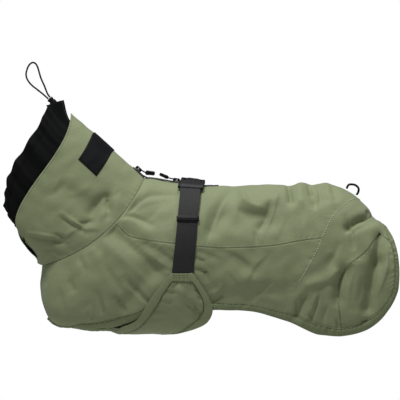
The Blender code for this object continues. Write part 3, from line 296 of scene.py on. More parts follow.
def run_of(points):
    """Length along a line of points, from its first one."""
    step = np.linalg.norm(np.diff(points, axis=0), axis=-1)
    return np.concatenate([np.zeros((1,) + step.shape[1:]), np.cumsum(step, axis=0)])


def line_at(at, run, line):
    """The columns of a line at these places of its run."""
    return np.stack([np.interp(at, run, column) for column in line.T], -1)


def form(u, v, table):
    """Point of the worn form, with t = pi v: x and z are mid + half cos t + bow sin^2 t + skew sin^2 t cos t,
    and y is -w sin^p t."""
    r = along(table[:, 0], table[:, 1:], np.clip(u, -0.05, 1.05))
    c = np.cos(pi * v)
    s = np.sin(pi * v)
    x = (r[..., 0] + r[..., 2]) / 2 + (r[..., 0] - r[..., 2]) / 2 * c + s * s * (r[..., 5] + r[..., 7] * c)
    z = (r[..., 1] + r[..., 3]) / 2 + (r[..., 1] - r[..., 3]) / 2 * c + s * s * (r[..., 6] + r[..., 8] * c)
    p = np.where(c > 0, r[..., 9], r[..., 10])
    y = -r[..., 4] * np.sign(s) * np.abs(s) ** p
    return np.stack([x, y, z], -1)


def find(line, table=BODY):
    """(u, v) of side-view points, by Newton steps from the nearest point of a coarse grid."""
    line = np.asarray(line, float).reshape(-1, 2)
    uu, vv = np.meshgrid(np.linspace(0, 1, 61), np.linspace(0, 1, 61), indexing="ij")
    grid = form(uu, vv, table)
    gap = (grid[..., 0].ravel()[None] - line[:, :1]) ** 2 + (grid[..., 2].ravel()[None] - line[:, 1:]) ** 2
    best = gap.argmin(1)
    uv = np.stack([uu.ravel()[best], vv.ravel()[best]], 1)
    e = 1e-4
    for _ in range(16):
        at = form(uv[:, 0], uv[:, 1], table)
        du = (form(uv[:, 0] + e, uv[:, 1], table) - at) / e
        dv = (form(uv[:, 0], uv[:, 1] + e, table) - at) / e
        miss = line - at[:, [0, 2]]
        det = du[:, 0] * dv[:, 2] - dv[:, 0] * du[:, 2]
        det = np.where(np.abs(det) < 1e-3, 1e-3, det)
        step_u = (miss[:, 0] * dv[:, 2] - miss[:, 1] * dv[:, 0]) / det
        step_v = (du[:, 0] * miss[:, 1] - du[:, 2] * miss[:, 0]) / det
        uv = uv + np.clip(np.stack([step_u, step_v], 1), -0.05, 0.05)
        uv[:, 0] = np.clip(uv[:, 0], -0.03, 1.03)
        uv[:, 1] = np.clip(uv[:, 1], 0.0, 1.0)
    return uv


def under(x, y):
    """(u, v) on the underside from x along the body and y off its middle."""
    us = np.linspace(0.06, 1.0, 400)
    u = np.interp(x, along(BODY[:, 0], BODY[:, 3], us), us)
    r = along(BODY[:, 0], BODY[:, 1:], u)
    return u, 1 - np.arcsin((abs(y) / r[4]) ** (1 / r[10])) / pi


def resample(uv, n):
    """n points of a (u, v) line, evenly spaced along it in space."""
    uv = np.asarray(uv, float)
    k = np.arange(len(uv))
    fine = along(k, uv, np.linspace(0, len(uv) - 1, 40 * len(uv))) if len(uv) > 2 else uv
    if len(uv) == 2:
        fine = uv[0] + (uv[1] - uv[0]) * np.linspace(0, 1, 60)[:, None]
    fine[:, 1] = np.clip(fine[:, 1], 0.0, 1.0)
    p = form(fine[:, 0], fine[:, 1], BODY)
    run = run_of(p)
    return line_at(np.linspace(0, run[-1], n), run, fine)


def join(*lines):
    """Lines one after another, without the doubled end points."""
    return np.concatenate([lines[0]] + [part[1:] for part in lines[1:]])


def fold_height(x, z, folds):
    """Sum over the folds of height exp(-(distance / width)^2) in side view."""
    total = np.zeros_like(x)
    for x1, z1, x2, z2, x3, z3, height, width in folds:
        near = np.full(x.shape, 1e9)
        for ax, az, bx, bz in ((x1, z1, x2, z2), (x2, z2, x3, z3)):
            dx, dz = bx - ax, bz - az
            k = np.clip(((x - ax) * dx + (z - az) * dz) / (dx * dx + dz * dz), 0, 1)
            near = np.minimum(near, np.hypot(x - ax - k * dx, z - az - k * dz))
        total = total + height * np.exp(-(near / width) ** 2)
    return total


def raw_normals(u, v, table):
    e = 0.012
    pu = form(u + e, v, table) - form(u - e, v, table)
    pv = form(u, v + e, table) - form(u, v - e, table)
    return unit(np.cross(pv, pu) * (1 if table is BODY else -1))


def normals(u, v, table):
    """Way out of the form; at the collar seam it is shared by the body and the collar."""
    n = raw_normals(u, v, table)
    if table is STORM:
        return n
    zero = np.zeros_like(u)
    both = unit(raw_normals(zero, v, BODY) + raw_normals(zero, v, COLLAR))
    k = ease(np.clip(u / (0.07 if table is BODY else 0.14), 0, 1)[..., None])
    return unit(n * k + both * (1 - k))


def inward(border, inner):
    """Unit ways from a border towards the inside, square to the border."""
    run = unit(np.gradient(border, axis=0))
    way = inner - border
    return unit(way - run * (way * run).sum(-1, keepdims=True), 1e-6)


def pull_in(p, gap, sides):
    """Borders of a grid moved inwards by gap mm: a is its first column, b its last row, d its first row."""
    q = p.copy()
    if "a" in sides:
        q[:, 0] += gap * inward(p[:, 0], p[:, 1])
    if "b" in sides:
        q[-1] += gap * inward(p[-1], p[-2])
    if "d" in sides:
        q[0] += gap * inward(p[0], p[1])
    return q


def lift():
    """Height that puts the inner face of the back at z = 0 above the origin."""
    us = np.linspace(0, 1, 800)
    top = form(us, np.zeros(800), BODY)
    return WALL - np.interp(0.0, top[:, 0], top[:, 2])


LIFT = lift()


def crease_height(x, z, rows):
    """Soft troughs and ridges: height exp(-(d / w)^2), d to a curve through three points, w growing along
    it and steeper on one side by the lean, fading out at both ends."""
    total = np.zeros_like(x)
    for row in rows:
        height, wide_1, wide_2, lean = row[6:]
        line = along((0, 1, 2), np.reshape(row[:6], (3, 2)), np.linspace(0, 2, 10))
        edge = 3.2 * max(wide_1, wide_2)
        low, high = line.min(0) - edge, line.max(0) + edge
        hit = (x > low[0]) & (x < high[0]) & (z > low[1]) & (z < high[1])
        if not hit.any():
            continue
        px, pz = x[hit], z[hit]
        near = np.full(px.shape, 1e9)
        side, share = np.zeros_like(px), np.zeros_like(px)
        for k in range(9):
            (ax, az), (bx, bz) = line[k], line[k + 1]
            dx, dz = bx - ax, bz - az
            t = np.clip(((px - ax) * dx + (pz - az) * dz) / (dx * dx + dz * dz), 0, 1)
            ex, ez = px - ax - t * dx, pz - az - t * dz
            gap = np.hypot(ex, ez)
            closer = gap < near
            near = np.where(closer, gap, near)
            side = np.where(closer, np.sign(ex * dz - ez * dx), side)
            share = np.where(closer, (k + t) / 9, share)
        wide = (wide_1 + (wide_2 - wide_1) * share) * (1 + lean * side)
        fade = np.clip(4.4 * share * (1 - share), 0, 1) ** 0.7
        total[hit] += height * fade * np.exp(-(near / wide) ** 2)
    return total


def swell(x, z):
    """Small uneven swell of worn cloth: slow waves whose phases wander, about 20 to 50 mm long."""
    a = np.sin(x / 7.3 + 1.6 * np.sin(z / 11.0 + 0.7)) * np.sin(z / 8.1 + 1.3 * np.sin(x / 17.0))
    b = np.sin((x + z) / 13.0 + 1.9 * np.sin((x - z) / 21.0 + 2.0))
    c = np.sin((x - 0.6 * z) / 4.1 + 2.2 * np.sin(z / 9.0)) * np.sin(x / 23.0 + z / 31.0)
    d = np.sin((x + 2.2 * z) / 9.5 + 2.4 * np.sin(x / 14.0 + 1.0)) * np.sin((1.7 * x - z) / 19.0)
    return 0.34 * a + 0.42 * b + 0.16 * c + 0.30 * d


def skin(uv, out, far=False, table=BODY, folds=FOLDS, creases=CREASES):
    """Points of the cloth at (u, v), out mm off the form, with the folds and creases of that side, and the
    way out of the form at each."""
    u, v = uv[..., 0], uv[..., 1]
    p = form(u, v, table)
    n = normals(u, v, table)
    x, z = p[..., 0], p[..., 2]
    near_h = fold_height(x, z, folds) + CREASE_GAIN * crease_height(x, z, creases)
    far_h = 0.85 * (fold_height(x - 7, z + 5, folds) + CREASE_GAIN * crease_height(x - 7, z + 5, creases))
    if len(creases):
        near_h, far_h = near_h + swell(x, z), far_h + swell(x + 60, z - 40)
    y = np.clip(np.abs(p[..., 1]) / 22, 0, 1)
    mix = 0.5 + 0.5 * ease(y) * (-1 if far else 1)
    k = ease(np.clip(u / (0.05 if table is BODY else 0.12), 0, 1))
    p = p + n * (k * (mix * near_h + (1 - mix) * far_h) + out)[..., None]
    if table is COLLAR and not far:
        p[..., 0] += RIM_DIP * np.sin(pi * np.clip((v - 0.6) / 0.4, 0, 1)) ** 2 * ease(u)
    return (p * MIRROR, n * MIRROR) if far else (p, n)


def finer(grid, k, axes=(0, 1)):
    """A grid k times finer, on smooth curves through its rows and columns."""
    for axis in axes:
        g = np.moveaxis(grid, axis, 0)
        n = len(g)
        flat = along(np.arange(n), g.reshape(n, -1), np.linspace(0, n - 1, (n - 1) * k + 1))
        grid = np.moveaxis(flat.reshape((-1,) + g.shape[1:]), 0, axis)
    if grid.shape[-1] == 2:
        grid[..., 1] = np.clip(grid[..., 1], 0, 1)
    return grid


def gathers(run, seed, pitch=7.5):
    """Uneven waves along a seam, from -1 to 1: the pitch and the size both wander."""
    turn = 2 * pi * (run / pitch + 0.55 * np.sin(run / 15.0 + seed) + 0.3 * np.sin(run / 6.1 + 2 * seed))
    return np.sin(turn) * (0.62 + 0.38 * np.sin(run / 23.0 + 3 * seed))


def turned(grid, side):
    """The grid with the border a, b, c or d as its first row, or back again."""
    grid = np.swapaxes(grid, 0, 1) if side in "ac" else grid
    return grid[::-1] if side in "bc" else grid


def back_again(grid, side):
    grid = grid[::-1] if side in "bc" else grid
    return np.swapaxes(grid, 0, 1) if side in "ac" else grid


def rolled(p, n, uv_mm, sides, drop_scale=1.0, first=None, smooth=""):
    """Grid with close rows along its seam borders, which turn in there: outer, inner, cloth coordinates."""
    drop = np.zeros(p.shape[:2] + (1,))
    for side in sides:
        p, n, uv_mm, drop = (turned(g, side) for g in (p, n, uv_mm, drop))
        way = inward(p[0], p[1])
        open_part = np.ones((p.shape[1], 1))
        if first is not None and side == "a":
            open_part[:first] = 0.0
        rows = [p[0] + way * step * (open_part if k == 0 else 1) for k, (step, _) in enumerate(SEAM_STEPS)]
        scale = 0.18 if side in smooth else drop_scale
        drops = [np.maximum(drop[0], depth * scale * open_part) for _, depth in SEAM_STEPS]
        p = np.concatenate([rows, p[1:]])
        n = np.concatenate([[n[0]] * 3, n[1:]])
        uv_mm = np.concatenate([[uv_mm[0]] * 3, uv_mm[1:]])
        drop = np.concatenate([drops, drop[1:]])
        p, n, uv_mm, drop = (back_again(g, side) for g in (p, n, uv_mm, drop))
    return p - n * drop, p - n * CLOTH, uv_mm


def mesh_piece(name, points, faces, slot, lay=None, second=None, sharp=None):
    """Object in the shared frame from points in mm; lay holds cloth coordinates in mm, and second is another
    slot with a mark for each face."""
    mesh = bpy.data.meshes.new(name)
    mesh.from_pydata(((np.asarray(points, float) + np.array((0, 0, LIFT))) * MM).tolist(), [], faces)
    mesh.update()
    if lay is not None:
        layer = mesh.attributes.new("lay", "FLOAT_VECTOR", "POINT")
        layer.data.foreach_set("vector", np.asarray(lay, np.float32).ravel())
    mesh.materials.append(LOOKS[slot])
    if second is not None:
        mesh.materials.append(LOOKS[second[0]])
        mesh.polygons.foreach_set("material_index", np.asarray(second[1], np.int32))
    mesh.shade_smooth()
    if sharp is not None:
        mesh.set_sharp_from_angle(angle=sharp)
    piece = bpy.data.objects.new(name, mesh)
    bpy.context.scene.collection.objects.link(piece)
    return piece


def quads_of(g):
    """Quads between the neighbours in a grid of point numbers."""
    return np.stack([g[:-1, :-1], g[1:, :-1], g[1:, 1:], g[:-1, 1:]], -1)


def tube_faces(n, m):
    """Quads round n rings of m points, and the caps at both ends."""
    g = np.arange(n * m).reshape(n, m)
    quads = quads_of(np.concatenate([g, g[:, :1]], 1)).reshape(-1, 4)
    return quads, [g[0].tolist(), g[-1][::-1].tolist()]


def shell(name, slot, patches, lining=None, sharp=1.1):
    """Closed wall from patches of (outer, inner, lay, kept quads or None, turned), welded where they meet;
    when a second look is given, its inner faces wear it: a darker green painted as the shade inside the
    jacket.
    """
    outer, inner, lay = (np.concatenate([item[k].reshape(-1, 3) for item in patches]) for k in range(3))
    _, where, ids = np.unique(np.round(outer, 3) + 0.0, axis=0, return_index=True, return_inverse=True)
    ids = ids.ravel()
    outer, inner, lay = outer[where], inner[where], lay[where]
    quads, start = [], 0
    for out, _, _, keep, turn in patches:
        n, m = out.shape[:2]
        g = ids[start:start + n * m].reshape(n, m)
        start += n * m
        q = quads_of(g)
        q = (q if keep is None else q[keep]).reshape(-1, 4)
        quads.append(q[:, ::-1] if turn else q)
    quads = np.concatenate(quads)
    count = len(outer)
    a, b = quads.ravel(), np.roll(quads, -1, axis=1).ravel()
    real = a != b
    a, b = a[real], b[real]
    alone = ~np.isin(a * count + b, b * count + a)
    a, b = a[alone], b[alone]
    whole = (quads != np.roll(quads, -1, axis=1)).all(1)
    faces = quads[whole].tolist() + (quads[whole][:, ::-1] + count).tolist()
    marks = [0] * int(whole.sum()) + [1] * int(whole.sum())
    for q in quads[~whole].tolist():
        short = [c for k, c in enumerate(q) if c != q[k - 1]]
        if len(short) > 2:
            faces += [short, [c + count for c in short[::-1]]]
            marks += [0, 1]
    faces += np.stack([b, a, a + count, b + count], 1).tolist()
    marks += [0] * len(a)
    points = np.concatenate([outer, inner])
    second = None if lining is None else (lining, marks)
    return mesh_piece(name, points, faces, slot, np.concatenate([lay, lay]), second, sharp)


def lay_of(p):
    """Cloth coordinates of a grid: length along its rows and along its columns, in mm."""
    a = run_of(p)
    b = np.swapaxes(run_of(np.swapaxes(p, 0, 1)), 0, 1)
    return np.stack([a, b, np.zeros_like(a)], -1)


def panel(name, uv, sides, half=None, out=0.0, table=BODY, folds=FOLDS, creases=CREASES, slot="shell_green",
          keep=None, first=None, pucker="", band=None, lining="lining", fine=FINE, drop=1.0, off=None,
          smooth="", gather=0.45):
    """Panel of cloth on a (u, v) grid: fine folds, puckers along the borders named in pucker, seam borders
    turned in, and a doubled band band mm wide along the border b."""
    # Inner faces get the darker green painted as the shade inside, unless lining is None.
    grid = finer(uv, fine)
    patches = []
    for far in (False, True):
        if half == "left" and far or half == "right" and not far:
            continue
        p, n = skin(grid, out if off is None else out - off(grid), far, table, folds, creases)
        lay = lay_of(p)
        extra = np.zeros(p.shape[:2])
        for k, side in enumerate("abcd"):
            t, r = turned(p, side), turned(extra, side)
            if side in pucker:
                away = run_of(t)
                along_seam = run_of(t[0])[None]
                wave = gathers(along_seam + 31 * far, k + 1.0)
                r += gather * wave * np.exp(-(away / 5.0) ** 1.3) * np.clip(away / 1.2, 0, 1)
            if side == "b" and band:
                away = run_of(t)
                step = np.clip((band - away) / 1.2, 0, 1)
                r += 0.40 * ease(step)
                groove = np.exp(-((away - band - 0.2) / 0.8) ** 2)
                r -= (0.16 + 0.10 * gathers(run_of(t[0])[None], 4.0, 5.0)) * groove
            extra = back_again(r, side)
        p = p + n * extra[..., None]
        o, i, lay = rolled(p, n, lay, sides, drop, None if first is None else first * fine, smooth)
        patches.append((o, i, lay, None, far))
    if keep is not None:
        big = np.repeat(np.repeat(keep, fine, 0), fine, 1)
        n, m = patches[0][0].shape[:2]
        low_a, low_d = 2 * ("a" in sides), 2 * ("d" in sides)
        full = np.ones((n - 1, m - 1), bool)
        full[low_d:low_d + big.shape[0], low_a:low_a + big.shape[1]] = big
        patches = [(o, i, lay, full, turn) for o, i, lay, _, turn in patches]
    return shell(name, slot, patches, lining)


def edge_profile(count):
    """Shares across a strip, close together at its edges."""
    return 0.5 - 0.5 * np.cos(np.linspace(0, pi, count))


def casing(name, strip, out, sides, half=None, folds=FOLDS, creases=CREASES, seed=1.0, full=1.15, pitch=6.5,
           slot="trim_green", ripple=1.0, sewn=0.17, off=None):
    """Bound elastic edge: a puffy strip with uneven gathers, a dashed sewn groove at the share sewn of its
    width, and round sides."""
    ends = finer(strip[:, [0, -1]], FINE, (0,))
    t = np.sort(np.concatenate([edge_profile(15), sewn + 0.028 * np.arange(-2, 3)]))
    grid = ends[:, :1] * (1 - t)[None, :, None] + ends[:, 1:] * t[None, :, None]
    out = out if off is None else out - off(grid, t)
    patches = []
    for far in (False, True):
        if half == "left" and far or half == "right" and not far:
            continue
        flat, _ = skin(grid, out, far, folds=folds, creases=creases)
        run = run_of(flat[:, 0])[:, None]
        arch = np.sin(pi * t)[None] ** 0.5
        wave = gathers(run + 2.2 * t[None] + 17 * far, seed, pitch)
        wave2 = gathers(run * 1.7 - 3.0 * t[None] + 9 * far, seed + 1.7, pitch)
        waves = ripple * (0.55 * wave + 0.22 * wave2) * np.sin(pi * np.clip(t, 0, 1))[None] ** 0.6
        groove = 0.85 * np.exp(-((t - sewn) / 0.036) ** 2)[None] * np.clip(0.55 + 0.6 * wave2, 0.1, 1.15)
        up = 0.25 + full * arch + waves - groove
        down = 0.25 + (BINDING_THICK / 2 - 0.3) * arch
        o, n = skin(grid, out + up, far, folds=folds, creases=creases)
        i, _ = skin(grid, out - down, far, folds=folds, creases=creases)
        lay = lay_of(flat)
        shift = pull_in(flat, SEAM_STEPS[0][0], sides) - flat
        patches.append((o + shift, i + shift, lay, None, far))
    return shell(name, slot, patches, sharp=1.3)


def loft(name, slot, rings, sharp=0.7):
    """Closed body through rings of points, capped at both ends, facing out."""
    rings = np.asarray(rings, float)
    n, m = rings.shape[:2]
    q, caps = tube_faces(n, m)
    faces = q.tolist() + caps
    points = rings.reshape(-1, 3)
    a, b, c, d = (points[q[:, k]] for k in range(4))
    volume = (a * (np.cross(b, c) + np.cross(c, d))).sum()
    if volume < 0:
        faces = [f[::-1] for f in faces]
    return mesh_piece(name, points, faces, slot, sharp=sharp)


def blunt(wave, power):
    """A sine or cosine to a power, with its sign: below 1 it makes a rounded box of an ellipse."""
    return np.sign(wave) * np.abs(wave) ** power


def ring(centre, one, two, half_a, half_b, m, power=0.7):
    """Ring of m points round a centre: a rounded box between an ellipse and a rectangle."""
    t = np.linspace(0, 2 * pi, m, endpoint=False) + pi / m
    a, b = half_a * blunt(np.cos(t), power), half_b * blunt(np.sin(t), power)
    return centre + a[:, None] * one + b[:, None] * two


def tube_rings(path, radius, m):
    """Rings of m points round a rod along a path."""
    way = unit(np.gradient(path, axis=0))
    ref = np.array((0.0, 0.0, 1.0)) if abs(way[:, 2]).max() < 0.9 else np.array((0.31, 0.95, 0.0))
    one = unit(np.cross(way, ref))[:, None]
    two = np.cross(way[:, None], one)
    t = np.linspace(0, 2 * pi, m, endpoint=False)[None, :, None]
    return path[:, None] + radius * (np.cos(t) * one + np.sin(t) * two)


def joined(name, parts):
    """Several objects made one."""
    for other in bpy.context.scene.objects:
        other.select_set(False)
    for part in parts:
        part.select_set(True)
    bpy.context.view_layer.objects.active = parts[0]
    bpy.ops.object.join()
    parts[0].name = name
    parts[0].data.name = name
    parts[0].select_set(False)
    return parts[0]


def stitch_line(points, n, pitch, length, wide):
    """Capsules of thread along a line of points with normals n: arrays of points and quads."""
    run = run_of(points)
    at = np.arange(pitch * 0.6, run[-1] - pitch * 0.5, pitch)
    if len(at) == 0:
        return np.zeros((0, 3)), np.zeros((0, 4), int)
    mid, ahead, up = line_at(at, run, points), line_at(at + 0.5, run, points), line_at(at, run, n)
    way = unit(ahead - mid)
    up = unit(up - way * (up * way).sum(1, keepdims=True))
    cross = np.cross(way, up)
    # A capsule's six rings: place along it, width, and dip into the cloth.
    s = np.array((-1.0, -0.86, -0.45, 0.45, 0.86, 1.0))
    fat = np.array((0.12, 0.62, 1.0, 1.0, 0.62, 0.12))
    dip = np.array((-0.30, -0.08, 0.02, 0.02, -0.08, -0.30))
    t = np.linspace(0, 2 * pi, 6, endpoint=False)
    body = mid[:, None, None] + way[:, None, None] * (s * length / 2)[None, :, None, None]
    body = body + up[:, None, None] * dip[None, :, None, None]
    body = body + cross[:, None, None] * (wide * fat[:, None] * np.cos(t)[None])[None, :, :, None]
    body = body + up[:, None, None] * (THREAD_HIGH * fat[:, None] * np.sin(t)[None])[None, :, :, None]
    q = tube_faces(6, 6)[0][:, [0, 3, 2, 1]]
    quads = (q[None] + 36 * np.arange(len(at))[:, None, None]).reshape(-1, 4)
    return body.reshape(-1, 3), quads


class Flow:
    """One value of a shader, with plain arithmetic on it."""

    def __init__(self, net, socket):
        self.net, self.socket = net, socket

    def maths(self, kind, *others):
        node = self.net.nodes.new("ShaderNodeMath")
        node.operation = kind
        for k, value in enumerate((self,) + others):
            if isinstance(value, Flow):
                self.net.links.new(value.socket, node.inputs[k])
            else:
                node.inputs[k].default_value = value
        return Flow(self.net, node.outputs[0])

    def __add__(self, other):
        return self.maths("ADD", other)

    def __sub__(self, other):
        return self.maths("SUBTRACT", other)

    def __mul__(self, other):
        return self.maths("MULTIPLY", other)

    def sine(self):
        return self.maths("SINE")

    def size(self):
        return self.maths("ABSOLUTE")

    def between(self, low, high):
        return self.maths("MAXIMUM", low).maths("MINIMUM", high)

    def node(self, kind, given, output=0, **settings):
        """Any other node; given maps its inputs to values or flows."""
        node = self.net.nodes.new(kind)
        for key, value in settings.items():
            setattr(node, key, value)
        for key, value in given.items():
            if isinstance(value, Flow):
                self.net.links.new(value.socket, node.inputs[key])
            else:
                node.inputs[key].default_value = value
        return Flow(self.net, node.outputs[output])


def look(name, color, rough, build, specular, sheen=0.0, sheen_rough=0.5):
    """Material: base colour times a flow, with a bump from a flow of height in mm. build gives shade, height,
    strength of the bump and change of roughness or None."""
    m = bpy.data.materials.new(name)
    m.use_nodes = True
    net = m.node_tree
    bsdf = net.nodes["Principled BSDF"]
    for key, value in (("Base Color", color + (1.0,)), ("Roughness", rough), ("Specular IOR Level", specular),
                       ("Sheen Weight", sheen), ("Sheen Roughness", sheen_rough)):
        bsdf.inputs[key].default_value = value
    m.diffuse_color = color + (1.0,)
    start = Flow(net, None)
    place = start.node("ShaderNodeTexCoord", {}, "Object")
    at_mm = place.node("ShaderNodeVectorMath", {0: place, 3: 1000.0}, operation="SCALE")
    lay = start.node("ShaderNodeAttribute", {}, "Vector", attribute_name="lay")
    shade, height, depth, gloss = build(at_mm, lay)
    tint = start.node("ShaderNodeVectorMath", {0: color, 3: shade}, operation="SCALE")
    net.links.new(tint.socket, bsdf.inputs["Base Color"])
    bump = start.node("ShaderNodeBump", {"Height": height, "Strength": depth, "Distance": MM})
    net.links.new(bump.socket, bsdf.inputs["Normal"])
    if gloss is not None:
        net.links.new((gloss + rough).socket, bsdf.inputs["Roughness"])
    return m


def noise(at, scale, detail=2.0, stretch=(1.0, 1.0, 1.0)):
    """Noise whose features are about 1 / scale mm across, from -0.5 to 0.5."""
    wide = at.node("ShaderNodeVectorMath", {0: at, 1: stretch}, operation="MULTIPLY")
    return at.node("ShaderNodeTexNoise", {"Vector": wide, "Scale": scale, "Detail": detail}, "Fac") - 0.5


def split(at):
    node = at.net.nodes.new("ShaderNodeSeparateXYZ")
    at.net.links.new(at.socket, node.inputs[0])
    return [Flow(at.net, node.outputs[k]) for k in range(3)]


def shell_cloth(at, lay):
    """Fine woven shell: a dotted plain weave, slubs along and across, cloudy dye and small creases."""
    x, y, _ = split(lay)
    weave = (x * (2 * pi / 1.35)).sine() * (y * (2 * pi / 1.35)).sine()
    slub = noise(lay, 0.5, 3.0, (0.16, 1.0, 1.0)) + noise(lay, 0.5, 3.0, (1.0, 0.16, 1.0))
    cloud = noise(at, 0.03, 3.0)
    fine = noise(at, 0.22, 4.0)
    shade = weave * 0.035 + slub * 0.10 + cloud * 0.16 + fine * 0.07 + 1.0
    height = weave * 0.09 + slub * 0.12 + fine * 0.7 + noise(at, 0.55, 2.0) * 0.16
    return shade, height, 0.45, noise(at, 0.12, 2.0) * 0.12


def trim_cloth(at, lay):
    """Elastic binding: fine ribs along its length over a soft, gathered ground."""
    x, y, _ = split(lay)
    rib = (y * (2 * pi / 1.2)).sine()
    pull = noise(lay, 0.42, 3.0, (1.0, 0.22, 1.0))
    shade = rib * 0.05 + pull * 0.22 + noise(at, 0.05, 2.0) * 0.14 + 1.0
    height = rib * 0.06 + pull * 0.55 + noise(at, 0.7, 2.0) * 0.12
    return shade, height, 0.5, None


def stretch_cloth(at, lay):
    """Soft black stretch cloth: small knit ribs and long soft pulls."""
    x, y, _ = split(lay)
    knit = (y * (2 * pi / 1.1)).sine() * ((x * (2 * pi / 1.5)).sine() * 0.3 + 0.7)
    pull = noise(lay, 0.30, 3.0, (0.12, 1.0, 1.0))
    shade = knit * 0.10 + pull * 0.5 + noise(at, 0.08, 2.0) * 0.4 + 1.0
    return shade, knit * 0.06 + pull * 0.7, 0.5, None


def ribbed_web(at, lay):
    """Webbing: lengthwise ribs crossed by a short weft."""
    x, y, _ = split(lay)
    rib = (y * (2 * pi / 2.1)).sine()
    weft = (x * (2 * pi / 1.2)).sine()
    shade = rib * 0.16 + weft * rib.size() * 0.08 + noise(lay, 0.3, 3.0, (0.2, 1.0, 1.0)) * 0.35 + 1.0
    return shade, rib * 0.22 + weft * 0.06, 0.6, None


def braid(at, lay):
    """Braided cord: crossing diagonal strands."""
    x, y, z = split(at)
    one = ((x + z) * (2 * pi / 1.3)).sine()
    two = ((x - z) * (2 * pi / 1.3) + y * 3.0).sine()
    return one * two * 0.25 + 1.0, one * two * 0.22, 0.6, None


def moulded(at, lay):
    """Moulded plastic: a faint spark-eroded grain and slight handling marks."""
    grain = noise(at, 2.6, 3.0)
    shade = noise(at, 0.2, 2.0) * 0.25 + 1.0
    return shade, grain * 0.10 + noise(at, 0.15, 1.0) * 0.2, 0.35, noise(at, 0.5, 3.0) * 0.14


def woven_label(at, lay):
    """Close satin weave with a fine diagonal."""
    x, y, _ = split(lay)
    twill = ((x + y) * (2 * pi / 0.9)).sine()
    shade = twill * 0.08 + noise(at, 0.2, 2.0) * 0.3 + 1.0
    return shade, twill * 0.08 + noise(at, 0.3, 2.0) * 0.25, 0.4, None


def spun(at, lay):
    """Twisted thread."""
    return noise(at, 1.2, 2.0) * 0.4 + 1.0, noise(at, 2.0, 2.0) * 0.3, 0.4, None


# Each look: colour, roughness, weave, specular, sheen and the sheen's roughness.
LOOKS = {name: look(name, *row) for name, row in {
    "shell_green": ((0.262, 0.302, 0.162), 0.66, shell_cloth, 0.32, 0.12),
    "trim_green": ((0.205, 0.243, 0.128), 0.70, trim_cloth, 0.28, 0.10),
    "bound_green": ((0.250, 0.290, 0.156), 0.68, trim_cloth, 0.28, 0.10),
    # Inner faces: the shell green at half brightness, painted shade of the jacket's inside.
    "lining": ((0.120, 0.140, 0.078), 0.72, trim_cloth, 0.25),
    "black_cloth": ((0.0030, 0.0033, 0.0038), 0.84, stretch_cloth, 0.14, 0.06, 0.4),
    "zip_woven": ((0.032, 0.034, 0.037), 0.66, ribbed_web, 0.3),
    "black_webbing": ((0.024, 0.024, 0.0245), 0.62, ribbed_web, 0.28, 0.08),
    "black_plastic": ((0.006, 0.006, 0.0065), 0.48, moulded, 0.26),
    "black_cord": ((0.008, 0.008, 0.009), 0.62, braid, 0.22, 0.04),
    "bare_label": ((0.0045, 0.0050, 0.0060), 0.66, woven_label, 0.12),
    "pale_thread": ((0.50, 0.54, 0.37), 0.62, spun, 0.3, 0.2),
    # Seam thread drawn near black: partly the thread's own colour, partly painted shade of the sewn grooves.
    "thread_and_groove_shade": ((0.022, 0.027, 0.016), 0.62, spun, 0.2),
    "black_thread": ((0.02, 0.02, 0.022), 0.55, spun, 0.3)}.items()}


def on_back_uv(x, y):
    """(u, v) on the back from x along it and y off its middle."""
    us = np.linspace(0, 1, 500)
    u = np.interp(x, along(BODY[:, 0], BODY[:, 1], us), us)
    r = along(BODY[:, 0], BODY[:, 1:], u)
    return np.stack([u, np.arcsin((np.abs(y) / r[..., 4]) ** (1 / r[..., 9])) / pi], -1)


def on_back(x, y, out):
    """Points out mm above the back at x and y, with no folds."""
    x, y, out = np.broadcast_arrays(np.asarray(x, float), np.asarray(y, float), np.asarray(out, float))
    uv = on_back_uv(x, y)
    p = form(uv[..., 0], uv[..., 1], BODY) + normals(uv[..., 0], uv[..., 1], BODY) * out[..., None]
    p[..., 1] = np.where(y > 0, -p[..., 1], p[..., 1])
    return p


def coons_at(top, low, left, right, t):
    """Coons grid whose rows across sit at the shares t."""
    s = np.linspace(0, 1, len(top))[:, None, None]
    t = t[None, :, None]
    flat = (1 - t) * top[:, None] + t * low[:, None]
    tall = (1 - s) * left[None] + s * right[None]
    corner = (1 - s) * ((1 - t) * top[0] + t * low[0]) + s * ((1 - t) * top[-1] + t * low[-1])
    uv = flat + tall - corner
    uv[..., 1] = np.clip(uv[..., 1], 0, 1)
    return uv


def spaced(uv, shares):
    """Points of a (u, v) line at the given shares of its length."""
    return line_at(shares, np.linspace(0, 1, 300), resample(uv, 300))


def strip_grid(inner, outer, n):
    """(u, v) grid, n wide, between two lines of the same length."""
    t = np.linspace(0, 1, n)[None, :, None]
    return (1 - t) * inner[:, None] + t * outer[:, None]


def wear(piece, nodes, slot, held=None, body="jacket"):
    """The piece rides on a body and stands for these CAD nodes; held is not used."""
    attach(piece, body)
    if nodes:
        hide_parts(*nodes)
    return piece


def cord(name, node, path, diameter):
    """Round braided cord on a smooth curve through the path's points, both ends going into the jacket."""
    curve = bpy.data.curves.new(name, "CURVE")
    curve.dimensions = "3D"
    curve.bevel_depth = diameter / 2 * MM
    curve.bevel_resolution = 5
    curve.use_fill_caps = True
    spline = curve.splines.new("POLY")
    spline.points.add(len(path) - 1)
    points = (np.asarray(path, float) + np.array((0, 0, LIFT))) * MM
    spline.points.foreach_set("co", np.concatenate([points, np.ones((len(path), 1))], 1).ravel())
    spline.use_smooth = True
    curve.materials.append(LOOKS["black_cord"])
    piece = bpy.data.objects.new(name, curve)
    bpy.context.scene.collection.objects.link(piece)
    wear(piece, [node], "black_cord")


